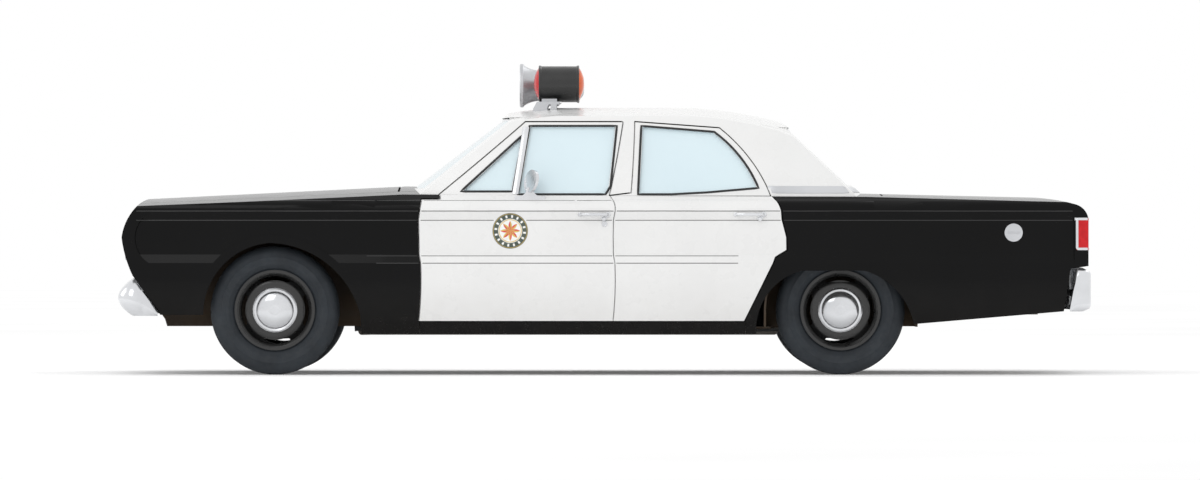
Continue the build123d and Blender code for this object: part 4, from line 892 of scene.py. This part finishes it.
def sewn(mesh, pad):
    """Presses the channels and the border seam into the face that looks to the front."""
    front, pitch = pad["front"], pad["pitch"]
    along = [v.co.x * front[1] - v.co.z * front[0] for v in mesh.vertices]
    low, high = min(along), max(along)
    moves = []
    for v, place in zip(mesh.vertices, along):
        facing = v.normal.x * front[0] + v.normal.z * front[1]
        inside = min(place - low, high - place, pad["half"] * MM - abs(v.co.y)) - PAD_BORDER
        weight = max(0.0, min(1.0, (facing - 0.35) * 3)) * max(0.0, min(1.0, inside / 0.02))
        t = (v.co.y * 1000 / pitch) % 1 - 0.5
        crown = math.cos(math.pi * t) * CHANNEL_CROWN
        groove = math.exp(-((0.5 - abs(t)) * pitch / 7) ** 2) * CHANNEL_DEPTH
        rim = math.exp(-(inside / 0.007) ** 2) * RIM_DEPTH if facing > 0.4 else 0
        moves.append(v.normal * ((weight * (crown - groove) - rim) * MM))
    for v, m in zip(mesh.vertices, moves):
        v.co += m
    mesh.shade_smooth()


def piping(name, path, normals, side):
    """A welt round one end of the pad."""
    pad = PADS[name]
    u = side * (1 - PAD_EDGE * 0.25 / pad["half"])
    turns = [2 * math.pi * k / PIPING_STEPS for k in range(PIPING_STEPS)]
    inset = PAD_EDGE * 0.26
    rings = []
    for (x, z), (nx, nz) in zip(path, normals):
        middle = Vector((x - nx * inset, u * half_width(pad, x, z), z - nz * inset))
        out, across = Vector((nx, 0, nz)) * PIPING_RADIUS, Vector((0, PIPING_RADIUS, 0))
        rings.append([(middle + across * math.cos(a) + out * math.sin(a)) * MM for a in turns])
    verts, faces = bridge(rings, True, True)
    solid(f"{name}_piping_{SIDE_NAMES[side]}", verts, faces, VINYL, "root")


def cushion(name):
    """One pad of a bench: its form, swelled, then sewn and piped."""
    pad = PADS[name]
    outline = rounded(pad["profile"])
    path = spaced(outline + outline[:1], PAD_STEP)[:-1]
    normals = outward(path)
    piece = pad_form(name, path, normals, PAD_SLACK)
    swelled(piece, pad["front"])
    finer = piece.modifiers.new("finer", "SUBSURF")
    finer.levels = finer.render_levels = 1
    mesh = applied(piece)
    piece.modifiers.remove(finer)
    piece.data = mesh
    sewn(mesh, pad)
    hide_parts(pad["node"])
    for side in (LEFT, RIGHT):
        piping(name, path, normals, side)


for name in PADS:
    cushion(name)

# Carpeted box under the rear cushion, on both sides of the tunnel, and its step behind
SEAT_BOX = ((474, 252), (464, 442), (814, 442), (814, 252))
SEAT_STEP = ((814, 252), (814, 442), (936, 442), (852, 252))
for side in (LEFT, RIGHT):
    name = SIDE_NAMES[side]
    prism(f"rear_seat_box_{name}", SEAT_BOX, side * 206, side * 684, CARPET, "root")
    prism(f"rear_seat_step_{name}", SEAT_STEP, side * 206, side * 580, CARPET, "root")

# Floor and light
FLOOR = ((-60, -60, 0), (60, -60, 0), (60, 90, 0), (-60, 90, 0))
floor = bpy.data.objects.new("floor", bpy.data.meshes.new("floor"))
floor.data.from_pydata(FLOOR, [], [(0, 1, 2, 3)])
floor.data.materials.append(surface("studio floor", (0.88, 0.88, 0.88), (0.92, 0.92, 0.92), (0.8, 0.9),
                                    patch=0.3, Specular_IOR_Level=0.0, Emission_Color=(1, 1, 1, 1),
                                    Emission_Strength=0.1))
SCENE.collection.objects.link(floor)

world = bpy.data.worlds.new("studio")
world.use_nodes = True
background = world.node_tree.nodes["Background"]
background.inputs["Color"].default_value = (1, 1, 1, 1)
background.inputs["Strength"].default_value = 1.0
SCENE.world = world

# Soft lamps as place, size and power, all turned to the middle of the car
LAMPS = {"key": ((-5, -9, 9), 6, 160), "rim": ((6, 7, 8), 6, 120), "front": ((-10, 1, 5), 5, 90)}
LIT_POINT = Vector((0, 0, 0.6))
for lamp_name, (place, size, energy) in LAMPS.items():
    lamp = bpy.data.lights.new(lamp_name, "AREA")
    lamp.size = size
    lamp.energy = energy
    light = bpy.data.objects.new(lamp_name, lamp)
    light.location = place
    light.rotation_euler = (LIT_POINT - Vector(place)).to_track_quat("-Z", "Y").to_euler()
    SCENE.collection.objects.link(light)
